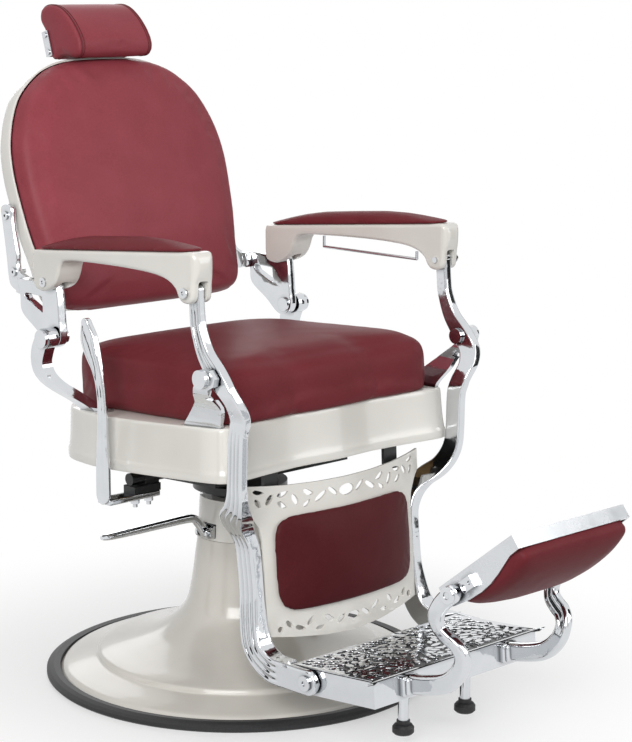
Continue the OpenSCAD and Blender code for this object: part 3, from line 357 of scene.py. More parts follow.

# %% [markdown]
# ### Chrome
# Polished castings are chromed after hand polishing, so their faces are gently wavy and the
# reflections in them break up. Turned pins, rods and rolled bars are straighter, and the flat
# plates are nearly level but less finely polished. All are the same metal, with a different
# wave. In grooves and corners the metal is painted greyer, where other faces close round it:
# painted shade. Metal keeps the default IOR.


# %% Chrome
def chrome_finish(name, wave_mm, wave_height, roughness, haze_mm=35, shade_reach_mm=9):
    """Chrome whose waves have this length and height in millimetres."""
    material, shader, place = finish_named(name, Metallic=1.0)
    wave = noise(material, place, wave_mm, Detail=2.0, Roughness=0.45)
    haze = noise(material, place, haze_mm, Detail=2.0)
    tone = between(material, haze, "#cfd2d5", "#dcdee1")
    # Painted shade: the colour darkens where the ambient occlusion node finds other faces within
    # reach, in grooves and corners.
    painted_groove_shade = node(material, "ShaderNodeAmbientOcclusion", {"Distance": shade_reach_mm * MM}, samples=8)
    groove_shade_level = mapped(material, painted_groove_shade.outputs["AO"], 0.30, 1.0, (0.25, 0.95))
    tone = node(material, "ShaderNodeVectorMath", {0: tone, "Scale": groove_shade_level}, operation="SCALE")
    plug(material, tone.outputs[0], shader, "Base Color")
    shine = mapped(material, haze, roughness, roughness + 0.05, (0.3, 0.7))
    plug(material, shine, shader, "Roughness")
    plug(material, bumped(material, wave, 0.5, wave_height), shader, "Normal")
    return material


cast_chrome = chrome_finish("polished_chromed_casting", 26, 1.6, 0.06)
bar_chrome = chrome_finish("polished_chromed_bar", 60, 0.8, 0.04)
plate_chrome = chrome_finish("polished_chromed_plate", 90, 0.4, 0.24)

# %% [markdown]
# ### The plain finishes
# Rubber, satin black paint, cast iron, bronze and plywood are dull surfaces. What the eye
# reads in them is their texture: moulded rubber is finely pitted, paint levels to a soft peel,
# sand-cast iron is grainy, turned bronze has rings, and plywood has long streaks.


# %% Dull finishes
def dull_finish(name, low, high, texture_mm, depth_mm, roughness, metallic=0.0,
                stretch=(1, 1, 1)):
    """A dull surface with a grain of this size and depth."""
    material, shader, place = finish_named(name, Metallic=metallic)
    drawn = node(material, "ShaderNodeMapping", {"Vector": place, "Scale": stretch})
    grain = noise(material, drawn.outputs[0], texture_mm, Detail=4.0)
    plug(material, between(material, grain, low, high, (0.3, 0.7)), shader, "Base Color")
    shine = mapped(material, grain, roughness - 0.06, roughness + 0.08)
    plug(material, shine, shader, "Roughness")
    plug(material, bumped(material, grain, 0.4, depth_mm), shader, "Normal")
    return material


black_rubber = dull_finish("moulded_black_rubber", "#141415", "#262628", 2.5, 0.25, 0.52)
black_paint = dull_finish("satin_black_paint", "#121314", "#1b1c1e", 5, 0.12, 0.34)
cast_iron = dull_finish("sand_cast_iron", "#3b3d3f", "#55585a", 2.0, 0.5, 0.6, metallic=0.7)
bronze = dull_finish("turned_bearing_bronze", "#8d6a35", "#a47e44", 3, 0.1, 0.35, metallic=1.0)
plywood = dull_finish("sanded_birch_plywood", "#b58b58", "#cfa976", 5, 0.2, 0.62,
                      stretch=(1, 0.08, 1))
print("materials:", sorted(m.name for m in bpy.data.materials))

# %% [markdown]
# ## The studio
# The floor and the far backdrop are plain and white. The floor is lit like any surface close
# to the chair, so that it keeps a soft shadow, and fades to an even white further out, where
# it meets the sky. Both give little light themselves, and are white only where they are seen,
# directly or in a mirror. Large soft lamps stand left, right, behind and above. Polished
# chrome is only as good as what it mirrors, so six dark cards stand far off all round, as a
# product photographer would place them: they only show in reflections. The studio's places
# and sizes are in metres.


# %% World
GIVEN_LIGHT = 0.26  # of what the camera and mirrors see


def seen_level(owner):
    """White as the camera, mirrors and glass see it, and dim as a source of light."""
    path = node(owner, "ShaderNodeLightPath").outputs
    seen = node(owner, "ShaderNodeMath", {0: path["Is Camera Ray"], 1: path["Is Glossy Ray"]},
                operation="MAXIMUM")
    seen = node(owner, "ShaderNodeMath", {0: seen.outputs[0], 1: path["Is Transmission Ray"]},
                operation="MAXIMUM")
    return mapped(owner, seen.outputs[0], GIVEN_LIGHT, 1.0)


world = bpy.data.worlds.new("white_studio")
scene.world = world
world.use_nodes = True
world.node_tree.nodes.clear()
light = node(world, "ShaderNodeBackground", {"Color": (1, 1, 1, 1), "Strength": seen_level(world)})
node(world, "ShaderNodeOutputWorld", {"Surface": light.outputs[0]})

# %% Floor
FLOOR_R = 14.0
FADE_FROM, FADE_TO = 0.25, 0.85  # metres from the column
floor_mesh = bpy.data.meshes.new("floor")
with editing(floor_mesh) as disc:
    bmesh.ops.create_circle(disc, cap_ends=True, radius=FLOOR_R, segments=96)
floor = placed("floor", floor_mesh)
floor_paper, shader, place = finish_named("white_floor_paper", Roughness=0.55,
                                          Base_Color=linear("#f7f7f7"))
reach = node(floor_paper, "ShaderNodeVectorMath", {0: place}, operation="LENGTH")
fade = mapped(floor_paper, reach.outputs["Value"], 0.4, 1.0, (FADE_FROM, FADE_TO),
              interpolation_type="SMOOTHSTEP")
glow = node(floor_paper, "ShaderNodeEmission", {"Strength": seen_level(floor_paper)})
mixed = node(floor_paper, "ShaderNodeMixShader", {0: fade, 1: shader.outputs[0],
                                                  2: glow.outputs[0]})
plug(floor_paper, mixed.outputs[0], floor_paper.node_tree.nodes["Material Output"], "Surface")
floor.data.materials.append(floor_paper)


# %% Lamps
def lamp(name, at, aim, width, height, watts):
    """A soft rectangular lamp that faces a point."""
    data = bpy.data.lights.new(name, "AREA")
    data.shape, data.size, data.size_y, data.energy = "RECTANGLE", width, height, watts
    made = placed(name, data)
    made.location = at
    made.rotation_mode = "QUATERNION"
    made.rotation_quaternion = (Vector(aim) - Vector(at)).to_track_quat("-Z", "Y")
    made.visible_camera = False


chest = (0, 0, 0.6)
lamp("key_softbox", (-2.6, -1.9, 1.9), (-0.1, 0.1, 0.8), 2.0, 1.8, 84)
lamp("front_softbox", (1.8, -3.0, 1.7), chest, 2.4, 2.0, 34)
lamp("top_softbox", (-0.2, 0.5, 3.0), chest, 2.4, 2.0, 9)
lamp("rear_softbox", (1.6, 2.8, 1.9), chest, 2.0, 1.6, 16)


# %% Dark cards
def card(name, at, width, height):
    """A dark upright card that only reflections see."""
    w, h = width / 2, height / 2
    mesh = bpy.data.meshes.new(name)
    mesh.from_pydata([(-w, 0, -h), (w, 0, -h), (w, 0, h), (-w, 0, h)], [], [(0, 1, 2, 3)])
    made = placed(name, mesh)
    made.location = at
    made.rotation_euler = (0, 0, math.atan2(at[0], -at[1]))
    made.data.materials.append(card_cloth)
    for ray in ("camera", "diffuse", "shadow", "transmission", "volume_scatter"):
        setattr(made, "visible_" + ray, False)


card_cloth = finish_named("black_card_felt", Roughness=0.9, Base_Color=linear("#101011"))[0]
card("camera_side_card", (-2.4, -2.6, 1.1), 0.45, 2.2)
card("left_card", (-3.0, -0.6, 1.1), 0.7, 2.2)
card("left_rear_card", (-2.6, 1.5, 1.0), 0.5, 2.0)
card("front_card", (0.3, -3.0, 1.0), 0.5, 2.0)
card("right_front_card", (2.3, -1.9, 1.0), 0.6, 2.0)
card("right_card", (3.0, 0.5, 1.1), 0.8, 2.2)
scene.view_settings.view_transform = "Standard"

# %% [markdown]
# ## The chair's own planes
# The seat slopes back a little, the back leans, and the tray tilts. A matrix for each lets its
# pieces be drawn flat, as on the drawing board. `side_view` is the chair seen from its left.

# %% Planes of the drawing
def tilted(at, degrees):
    """A plane through a point, tilted about the chair's cross axis."""
    return Matrix.Translation(at) @ Matrix.Rotation(math.radians(degrees), 4, "X")


swap = Matrix(((1, 0, 0, 0), (0, 0, 1, 0), (0, 1, 0, 0), (0, 0, 0, 1)))
seat_plane = tilted((0, 0, 476), -2.86)
back_plane = tilted((0, 233, 600), -17.5) @ swap
tray_plane = tilted((0, -365, 107), -5)
side_view = Matrix(((0, 0, 1, 0), (1, 0, 0, 0), (0, 1, 0, 0), (0, 0, 0, 1)))


def on_plane(plane, points):
    """Points of a plane's drawing, in the chair's own millimetres."""
    points = np.asarray(points, float)
    turn = np.array(plane, float)
    return points @ turn[:3, :3].T + turn[:3, 3]


# %% [markdown]
# ## The padding
# A pad is foam on a board, pulled tight under leatherette, so it is full, crowned and nearly
# free of wrinkles. Each pad starts from its measured solid. Remeshing gives it even, square
# cells that cloth can stretch. A short cloth simulation then blows the cover up like a
# balloon, held where the pad rests on its board, and a cap keeps every point within a few
# millimetres, because real leatherette hardly stretches. One subdivision smooths the result.


# %% Foam blank
def foam_blank(name, source, cell, supports, reach=3.5, full=0):
    """A remeshed copy of a frame node, made fuller, with a group of the points that are held.

    A point is held where it lies within reach of the pieces that support the pad.
    """
    piece = placed(name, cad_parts[source].data.copy())
    with editing(piece.data) as bm:
        bmesh.ops.remove_doubles(bm, verts=bm.verts, dist=0.03 * MM)
    remesh = piece.modifiers.new("even_cells", "REMESH")
    remesh.mode, remesh.voxel_size, remesh.use_smooth_shade = "VOXEL", cell * MM, True
    relax = piece.modifiers.new("relax", "SMOOTH")
    relax.factor, relax.iterations = 0.5, 5
    if full:
        fill = piece.modifiers.new("full", "DISPLACE")
        fill.mid_level, fill.strength = 0, full * MM
    settle(piece)
    graph = bpy.context.evaluated_depsgraph_get()
    trees = [BVHTree.FromObject(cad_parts[n], graph) for n in supports]
    held = [v.index for v in piece.data.vertices
            if any(t.find_nearest(v.co, reach * MM)[0] is not None for t in trees)]
    piece.vertex_groups.new(name="held").add(held, 1.0, "REPLACE")
    print(name, "points:", len(piece.data.vertices), "held:", len(held))
    return piece


# %% Stuffing
def coordinates(mesh):
    """Every point of a mesh, as rows of x, y and z in metres."""
    found = np.empty(len(mesh.vertices) * 3, np.float32)
    mesh.vertices.foreach_get("co", found)
    return found.reshape(-1, 3)


def stuff(pieces, frames=20):
    """Blows the pieces up together, no further than each one's cap in millimetres."""
    start = {piece: coordinates(piece.data) for piece in pieces}
    for piece in pieces:
        cloth = piece.modifiers.new("stuffing", "CLOTH")
        cloth.settings.quality = 4
        cloth.settings.mass = 0.4
        cloth.settings.use_pressure = True
        cloth.settings.uniform_pressure_force = 4.0
        cloth.settings.effector_weights.gravity = 0
        cloth.settings.bending_stiffness = 2.0
        cloth.settings.vertex_group_mass = "held"
        cloth.point_cache.frame_start, cloth.point_cache.frame_end = 1, frames
    for f in range(1, frames + 1):
        scene.frame_set(f)
    graph = bpy.context.evaluated_depsgraph_get()
    for piece, cap in pieces.items():
        moved = coordinates(piece.evaluated_get(graph).data) - start[piece]
        length = np.linalg.norm(moved, axis=1)
        moved *= np.minimum(1, cap * MM / np.maximum(length, 1e-9))[:, None]
        piece.modifiers.clear()
        piece.data.vertices.foreach_set("co", (start[piece] + moved).ravel())
        piece.data.update()
        print(piece.name, "swelled by at most mm:", round(float(length.max()) * 1000, 1))
    scene.frame_set(1)


# %% Pads
seat_pad = foam_blank("seat_cushion_cover", "seat_cushion", 6, ["seat_board", "apron"],
                      reach=4.5, full=1.0)
back_pad = foam_blank("back_cushion_cover", "back_cushion", 6, ["back_board", "back_shell"],
                      reach=5.0, full=1.8)
head_pad = foam_blank("headrest_cover", "headrest_pad", 4, ["headrest_yoke"])
calf_cover = foam_blank("calf_pad_cover", "calf_pad", 4, ["calf_panel"])
board_cover = foam_blank("foot_board_cover", "board_pad", 4, ["board_frame"])
arm_cover_left = foam_blank("arm_pad_cover_left", "arm_pad_left", 3, ["armrest_left"],
                            reach=2.5)
swell_mm = {seat_pad: 3.5, back_pad: 3.5, head_pad: 2.0, calf_cover: 2.0, board_cover: 2.0,
            arm_cover_left: 1.2}
stuff(swell_mm)
for piece in swell_mm:
    piece.vertex_groups.clear()
    piece.modifiers.new("finer", "SUBSURF").levels = 1
    settle(piece)
    piece.data.shade_smooth()
arm_cover_right = twin(arm_cover_left, "arm_pad_cover_right")

# %% Pads in place
# The lower pads wear the painted-shade copies of the leatherette.
for piece, cover, body, replaced, fill in (
        (seat_pad, burgundy_painted_shade, "seat", "seat_cushion", 0.85),
        (back_pad, burgundy, "back", "back_cushion", 0.85),
        (head_pad, burgundy, "headrest", "headrest_pad", 0.9),
        (calf_cover, burgundy_painted_deep_shade, "legs", "calf_pad", 0.85),
        (board_cover, burgundy_painted_shade, "board", "board_pad", 0.85),
        (arm_cover_left, burgundy_painted_shade, "arm_left", "arm_pad_left", 0.9),
        (arm_cover_right, burgundy_painted_shade, "arm_right", "arm_pad_right", 0.9)):
    dress(piece, cover, body, [replaced])

# %% [markdown]
# ## Seams
# A welt is a strip folded round a thin cord and sewn between two panels. It is drawn as a tube
# that follows the line where the panels meet, pulled onto the finished cover, so that it never
# floats or sinks.


# %% Welts
def tube(name, points, radius, sides=8):
    """A round tube along a closed line of points, in millimetres."""
    points = np.asarray(points, float)
    step = np.roll(points, -1, 0) - np.roll(points, 1, 0)
    step /= np.linalg.norm(step, axis=1)[:, None]
    angle = np.linspace(0, 2 * np.pi, sides, endpoint=False)[:, None]
    across = np.cross(step[0], (0.31, 0.17, 0.93))  # any direction that is not the tube's own
    rings = []
    for at, along in zip(points, step):
        across = across - along * (across @ along)
        across /= np.linalg.norm(across)
        other = np.cross(along, across)
        rings.append(at + radius * (np.cos(angle) * across + np.sin(angle) * other))
    return skin(name, rings + rings[:1], caps=False)


def pulled_onto(cover, points, lift):
    """Points moved onto a cover's surface, then off it by the lift."""
    tree = BVHTree.FromObject(cover, bpy.context.evaluated_depsgraph_get())
    made = []
    for p in np.asarray(points, float):
        at, normal, _, _ = tree.find_nearest(Vector(p) * MM)
        made.append(at / MM + normal * lift)
    return np.array([[*p] for p in made])


def evened(points, spacing):
    """A closed line resampled at an even spacing."""
    loop = np.vstack([points, points[:1]])
    run = np.concatenate([[0], np.cumsum(np.linalg.norm(np.diff(loop, axis=0), axis=1))])
    at = np.linspace(0, run[-1], int(run[-1] / spacing), endpoint=False)
    return np.column_stack([np.interp(at, run, loop[:, i]) for i in range(3)])


# %% Headrest welts
HEAD_HALF = 83  # half the pad's width
head_section = [(31, 464), (31, 484), (31, 500), (36, 511), (40, 524), (35, 537), (22, 543),
                (2, 540), (-16, 531), (-31, 517), (-44, 498), (-53, 478), (-58, 459), (-56, 444),
                (-47, 435.5), (-30, 437), (-14, 443), (2, 447), (18, 447.5), (30, 451)]
head_loop = ring(head_section, 6)
for side, word in ((1, "left"), (-1, "right")):
    for inset, radius, label in ((7.5, 1.5, "outer"), (12.5, 0.9, "inner")):
        loop = on_plane(back_plane, [[side * (HEAD_HALF - inset), s, n] for n, s in head_loop])
        loop = pulled_onto(head_pad, evened(loop, 4), 0.2)
        dress(tube(f"headrest_{label}_welt_{word}", loop, radius), welt_painted_shade, "headrest")

# %% [markdown]
# ## Turned and pressed cream pieces
# The base cover is a spun steel dome with a raised bell, so it is a lathe shape: one profile
# turned round the column's axis. The apron is a pressed skirt, drawn as rings that follow the
# seat's outline and flare towards a bead at the bottom. The back's shell is a shallow moulded
# bowl. All three are closed skins with a real wall, so that their edges look right.


# %% Lathe
def lathe(name, profile, segments=128):
    """A closed solid of revolution from a closed profile of (radius, height)."""
    profile = np.asarray(profile, float)
    angle = np.linspace(0, 2 * np.pi, segments, endpoint=False)
    rings = [np.column_stack([r * np.cos(angle), r * np.sin(angle), np.full(segments, z)])
             for r, z in profile]
    return skin(name, rings + rings[:1], caps=False)


def welded(piece):
    """Joins a piece's doubled points and turns its faces outward."""
    with editing(piece.data) as bm:
        bmesh.ops.remove_doubles(bm, verts=bm.verts, dist=0.02 * MM)
        bmesh.ops.recalc_face_normals(bm, faces=bm.faces)
    return piece


# %% Base cover
cover_line = smooth([(306, 8), (299, 16), (285, 21), (262, 27), (248, 31), (244.5, 33.5), (243, 37),
                     (239, 41), (225, 45.5), (200, 52), (172, 60.5), (148, 70), (127, 82),
                     (110, 95), (97, 110), (89, 127), (84.5, 148), (80.5, 172), (77, 200),
                     (72.2, 235.4)], 8)
WALL, TOP_WALL, RIM_Z = 2.6, 2.4, 8  # the sheet's thickness on the bell and on the dome
inner_line = cover_line[::-1] - (WALL, 0) - np.array([0, TOP_WALL]) * (cover_line[::-1, :1] > 90)
inner_line[:, 1] = np.maximum(inner_line[:, 1], RIM_Z)
base_dome = welded(lathe("base_dome", np.vstack([cover_line, inner_line])))
dress(crease(base_dome, 50), cream_enamel_painted_shade, "base", ["base_cover"])

# %% Apron
apron_half = [(0, -226), (78, -221), (150, -226), (205, -233), (238, -233), (252, -214),
              (261, -158), (272, -70), (277, 0), (273, 60), (252, 132), (205, 178), (140, 193),
              (70, 197), (0, 198)]
apron_plan = ring(both_halves(apron_half), 8)
flange_half = [(0, -168), (110, -168), (175, -163), (203, -144), (215, -105), (217, 0), (213, 48),
               (195, 98), (151, 127), (70, 136), (0, 138)]


def skirt(offset, height):
    """The apron's plan, moved outward and set at a height."""
    return np.column_stack([grow(apron_plan, offset), np.full(len(apron_plan), height)])


skirt_line = [(6, -84), (7.2, -83.6), (7.9, -82), (8, -79), (8, -73), (7.6, -69.5), (6.5, -67),
              (5.9, -64), (5.3, -60), (4.2, -52), (3.4, -42), (2.4, -26), (1.4, -10), (1, -5),
              (0.4, -2.2), (-0.8, -0.6), (-2.4, 0)]
outside = [skirt(o, z) for o, z in skirt_line]
flange = ring(both_halves(flange_half), len(apron_plan) // (2 * len(flange_half) - 2) + 1)
plan_angles = np.unwrap(np.arctan2(apron_plan[:, 1], apron_plan[:, 0]))


def at_angles(outline, angles):
    """Where rays at these angles from the middle cross a closed outline."""
    own = np.arctan2(outline[:, 1], outline[:, 0])
    order = np.argsort(own)
    far = np.hypot(*outline.T)
    r = np.interp(angles, own[order], far[order], period=2 * np.pi)
    return np.column_stack([r * np.cos(angles), r * np.sin(angles)])


rim = at_angles(flange, plan_angles)
flat_rings = [np.column_stack([rim, np.full(len(rim), z)]) for z in (0, -4)]
inside = [skirt(-5.5, -4.5), skirt(-4.8, -10), skirt(-2, -42), skirt(0, -60), skirt(3, -70),
          skirt(3.5, -80), skirt(3.8, -84)]
apron_skin = skin("apron_skirt", [on_plane(seat_plane, r) for r in outside + flat_rings + inside
                                  + outside[:1]], caps=False)
welded(apron_skin)


def minus(piece, *cutters):
    """Cuts other closed pieces out of a piece."""
    for cutter in cutters:
        cut = piece.modifiers.new("cut", "BOOLEAN")
        cut.object, cut.operation, cut.solver = cutter, "DIFFERENCE", "EXACT"
    settle(piece)
    for cutter in cutters:
        bpy.data.objects.remove(cutter)
    return piece


def slot_cutter(side):
    """The box that clears a leg arm, through the apron's rim."""
    where = (seat_plane @ Matrix.Scale(side, 4, (1, 0, 0)) @ Matrix.Translation((246, -190, 0))
             @ Matrix.Rotation(math.radians(-9), 4, "Z") @ Matrix.Translation((0, 3, 0))
             @ Matrix.Diagonal((9, 78, 60, 1)))
    mesh = bpy.data.meshes.new("slot_cutter")
    with editing(mesh) as bm:
        bmesh.ops.create_cube(bm, size=1)
        bmesh.ops.transform(bm, verts=bm.verts, matrix=Matrix.Scale(MM, 4) @ where)
        bmesh.ops.recalc_face_normals(bm, faces=bm.faces)
    return placed("slot_cutter", mesh)


minus(apron_skin, slot_cutter(1), slot_cutter(-1))
dress(crease(apron_skin, 40), cream_enamel, "seat", ["apron"])

# %% Back shell
back_half = [(0, 4), (90, 5), (160, 8), (188, 15), (201, 34), (206, 62), (211, 100), (219, 145),
             (224, 200), (226, 245), (222, 288), (213, 320), (201, 348), (184, 375), (158, 399),
             (126, 419), (85, 431), (42, 435), (0, 436)]
back_plan = ring(both_halves(back_half), 6)
LIFTED, LIFT_REACH = 12.6, 50  # the shell's lower edge is drawn up, under the cushion
back_plan[:, 1] += LIFTED * np.maximum(0, 1 - back_plan[:, 1] / LIFT_REACH) ** 1.3


def bowl(offset, n, share=1.0):
    """The shell's plan, moved outward, shrunk to a share and set n behind the back's plane."""
    grown = grow(back_plan, offset)
    middle = np.array([0, 215])
    return np.column_stack([middle + (grown - middle) * share, np.full(len(grown), n)])


bowl_line = [(6.2, 0), (7.4, 0.5), (8, 2), (8, 10), (8, 18), (7.6, 23), (6.2, 28), (3.6, 32.5),
             (0, 36), (-5, 39.2), (-12, 42), (-20, 43.8)]
bowl_rings = [bowl(o, n) for o, n in bowl_line]
bowl_rings += [bowl(-22, n, s) for s, n in ((0.93, 45.4), (0.82, 47), (0.66, 48.4),
                                            (0.45, 49.4), (0.2, 50))]
hollow = [bowl(-22, 28, 0.2), bowl(-22, 28, 0.93), bowl(-4, 27), bowl(3.6, 20), bowl(4.4, 10),
          bowl(4.6, 0.4)]
shell = skin("moulded_back_shell", [on_plane(back_plane, r) for r in hollow + bowl_rings])
dress(crease(shell, 50), cream_mould, "back", ["back_shell"])
print("cream skins made")

# %% [markdown]
# ## Chromed castings
# The side arms, the goosenecks and the lever are bars with a shaped outline, a varying
# thickness and softly rounded edges. `flat_bar` draws one from its centre line: at every
# station it lays points across the outline's width, gives them the thickness found there, and
# rounds the edges. A relief function cuts flutes or a spoon hollow into the outer face.


# %% Bars
def with_round_ends(line, start_r=None, end_r=None, steps=7):
    """Adds half discs to the ends of a centre line of (a, b, width)."""
    def disc(at, before, r):
        """Stations of a half disc that starts at one point and leads away from another."""
        out = (at[:2] - before[:2]) / np.linalg.norm(at[:2] - before[:2])
        return [[*(at[:2] + out * d), max(2 * math.sqrt(max(r * r - d * d, 0)), 0.6)]
                for d in r * np.sin(np.linspace(0, np.pi / 2, steps + 1))[1:]]

    line = np.asarray(line, float)
    first = [disc(line[0], line[1], start_r)[::-1]] if start_r else []
    last = [disc(line[-1], line[-2], end_r)] if end_r else []
    return np.vstack(first + [line] + last)


def flat_bar(name, line, inner, outer, edge, order="tab", relief=None, across=33,
             inner_relief=None):
    """A bar from stations (a, b, width), with its thickness from inner(a, b) to outer(a, b).

    The order says which of a, b and the thickness t is the chair's x, y and z.
    """
    line = np.asarray(line, float)
    step = np.gradient(line[:, :2], axis=0)
    step /= np.maximum(np.linalg.norm(step, axis=1), 1e-9)[:, None]
    side = np.column_stack([step[:, 1], -step[:, 0]])
    run = np.concatenate([[0], np.cumsum(np.linalg.norm(np.diff(line[:, :2], axis=0), axis=1))])
    run /= run[-1]
    u = np.sin(np.linspace(-np.pi / 2, np.pi / 2, across))
    rings = []
    for c, n, w, t in zip(line[:, :2], side, line[:, 2] / 2, run):
        flat = c + n * (u * w)[:, None]
        low, high = inner(*flat.T), outer(*flat.T)
        e = min(edge, w * 0.95, float(np.min(high - low)) * 0.48)
        past = np.clip(np.abs(u * w) - (w - e), 0, e)
        drop = e - np.sqrt(np.maximum(e * e - past * past, 0))
        top = high - drop - (relief(u, t) if relief else 0) * (past < e * 0.5)
        base = low + drop + (inner_relief(u, t) if inner_relief else 0) * (past < e * 0.5)
        loop = np.vstack([np.column_stack([top, flat]), np.column_stack([base, flat])[::-1]])
        rings.append(loop)
    rings = np.array(rings)
    columns = ["tab".index(c) for c in order]
    return skin(name, rings[:, :, columns])


def limits(stations, steps=6):
    """Both edges of a bar seen from the front, as functions of height."""
    line = smooth(stations, steps)
    step = np.gradient(line[:, :2], axis=0)
    step /= np.linalg.norm(step, axis=1)[:, None]
    side = np.column_stack([step[:, 1], -step[:, 0]]) * line[:, 2:3] / 2
    found = []
    for edge in (line[:, :2] + side, line[:, :2] - side):
        order = np.argsort(edge[:, 1])
        found.append((edge[order, 1], edge[order, 0]))
    found.sort(key=lambda f: f[1].mean())
    return [lambda z, f=f: np.interp(z, *f) for f in found]


def grooves(u, places, half):
    """Rounded grooves at shares of the width, 1 deep."""
    return sum(np.where(np.abs(u - p) < half, 0.5 + 0.5 * np.cos(np.pi * (u - p) / half), 0)
               for p in places)


def within(t, start, end, soft=0.03):
    """1 between two shares of a bar's length, and 0 beyond them."""
    return float(np.clip((t - start) / soft, 0, 1) * np.clip((end - t) / soft, 0, 1))


# %% Side arms of the leg frame
leg_line = smooth([(-206, 699, 22), (-208, 664, 23), (-212, 640, 24), (-227, 606, 28),
                   (-252, 577, 34), (-271, 553, 33), (-278, 531, 32), (-273, 505, 32),
                   (-266, 480, 32), (-264, 420, 32), (-260, 386, 34), (-246, 358, 36),
                   (-224, 336, 38), (-216, 306, 38), (-222, 240, 39), (-229, 180, 40),
                   (-245, 130, 42), (-278, 108, 42), (-315, 106, 41), (-365, 107, 40)], 8)
leg_inner, leg_outer = limits([(274, 740, 16), (274, 640, 16), (274, 578, 16), (272.1, 556, 16),
                               (261.9, 534, 16), (249.8, 514, 16), (245.2, 494, 16),
                               (245.2, 420, 16), (243.3, 396, 16.5), (236.8, 371, 18),
                               (224.7, 350, 21), (207, 331, 23), (191.2, 312, 23), (181, 290, 22),
                               (179, 266, 22), (179, 205, 22), (183, 140, 30), (183, 104, 30),
                               (183, 70, 30)])


def leg_relief(u, t):
    """Two fine flutes above the knee and three deeper ones below it."""
    upper = 1.3 * within(t, 0.03, 0.22) * grooves(u, (-0.3, 0.3), 0.16)
    lower = 2.4 * within(t, 0.30, 0.90, 0.05) * grooves(u, (-0.5, 0.0, 0.5), 0.2)
    return upper + lower


TRAY_FROM, TRAY_END = -318, 186.8  # in front of this line, the arm lies along the tray's end
leg_left = flat_bar("leg_arm_casting_left", with_round_ends(leg_line, 12.5, 20.5),
                    lambda y, z: np.where(y < TRAY_FROM, TRAY_END, leg_inner(z)),
                    lambda y, z: leg_outer(z), 4.0, relief=leg_relief, across=49)
dress_pair(leg_left, "leg_arm_casting_right", 50, cast_chrome, "legs", "leg_arm_{}")

# %% Goosenecks of the foot board
goose_line = smooth([(-496, 120, 30), (-540, 128, 30), (-578, 141, 30), (-602, 164, 27),
                     (-610, 187, 25), (-603, 204, 24), (-588, 214, 23), (-575, 226, 23),
                     (-573, 245, 24), (-585, 268, 26), (-606, 288, 28)], 8)
goose_inner, goose_outer = limits([(114, 80, 17), (114, 170, 17), (118, 195, 17), (128, 225, 17),
                                   (136, 252, 17), (137.5, 275, 16), (137.5, 330, 16)])
goose_left = flat_bar("gooseneck_casting_left", with_round_ends(goose_line, None, 14),
                      lambda y, z: goose_inner(z), lambda y, z: goose_outer(z), 6.5,
                      inner_relief=lambda u, t: 3.0 * within(t, 0.45, 0.86, 0.06)
                      * np.clip((0.55 - np.abs(u)) / 0.2, 0, 1))
print("castings:", leg_left.name, goose_left.name)


# %% [markdown]
# ## Blocks and plates
# A block is a box with bevelled edges. A plate is an outline with thickness: Blender fills a
# flat curve and bevels its edge, holes included, which no box could do.


# %% Blocks
def block(name, low, high, bevel, plane=None):
    """A box between two corners in millimetres, with rounded edges."""
    low, high = Vector(low), Vector(high)
    mesh = bpy.data.meshes.new(name)
    with editing(mesh) as bm:
        bmesh.ops.create_cube(bm, size=1)
        bmesh.ops.scale(bm, vec=high - low, verts=bm.verts)
        bmesh.ops.translate(bm, vec=(low + high) / 2, verts=bm.verts)
        bmesh.ops.bevel(bm, geom=bm.edges[:], offset=bevel, segments=3, profile=0.5,
                        affect="EDGES", clamp_overlap=True)
        bmesh.ops.transform(bm, verts=bm.verts, matrix=Matrix.Scale(MM, 4) @ (plane or Matrix()))
        bmesh.ops.recalc_face_normals(bm, faces=bm.faces)
    return crease(placed(name, mesh), 35)


def joined(main, *others):
    """Several meshes as one piece."""
    with editing(main.data) as bm:
        for piece in others:
            bm.from_mesh(piece.data)
    for piece in others:
        bpy.data.objects.remove(piece)
    return main


def plate(name, outlines, low, high, bevel, plane, steps=4):
    """A plate from closed outlines (the first is the rim, the others are holes)."""
    curve = bpy.data.curves.new(name, "CURVE")
    curve.dimensions, curve.fill_mode = "2D", "BOTH"
    for outline in outlines:
        spline = curve.splines.new("POLY")
        spline.points.add(len(outline) - 1)
        for point, (a, b) in zip(spline.points, outline):
            point.co = (a * MM, b * MM, 0, 1)
        spline.use_cyclic_u = True
    curve.extrude = ((high - low) / 2 - bevel) * MM
    curve.bevel_depth, curve.bevel_resolution, curve.offset = bevel * MM, steps, -bevel * MM
    flat = placed(name, curve)
    bpy.context.view_layer.update()
    graph = bpy.context.evaluated_depsgraph_get()
    mesh = bpy.data.meshes.new_from_object(flat.evaluated_get(graph))
    bpy.data.objects.remove(flat)
    mesh.transform(Matrix.Translation((0, 0, (low + high) / 2 * MM)))
    mesh.transform(in_metres(plane))
    return crease(welded(placed(name, mesh)), 35)


def softened(corners, share=0.12, steps=3):
    """A polygon whose corners are cut and then rounded."""
    cut = [((1 - t) * a[0] + t * b[0], (1 - t) * a[1] + t * b[1])
           for a, b in zip(corners, corners[1:] + corners[:1]) for t in (share, 1 - share)]
    return ring(cut, steps)

# %% Goosenecks in place
joined(goose_left, block("block", (97, -143.5, -14.5), (131, -130, 15.5), 3, tray_plane),
       block("collar", (100, -150, -13), (128, -141, 14), 4, tray_plane))
dress_pair(goose_left, "gooseneck_casting_right", 45, cast_chrome, "footrest", "gooseneck_{}")

# %% [markdown]
# ## The tray's scrollwork
# The tray's top is an openwork of cast scrolls over a black sheet, which stands for the shade
# seen through the openings: painted shade. Its openings are pointed leaves of random size, set
# one after the other wherever there is room, and turned to follow two slow waves, so that they
# gather into swirls.


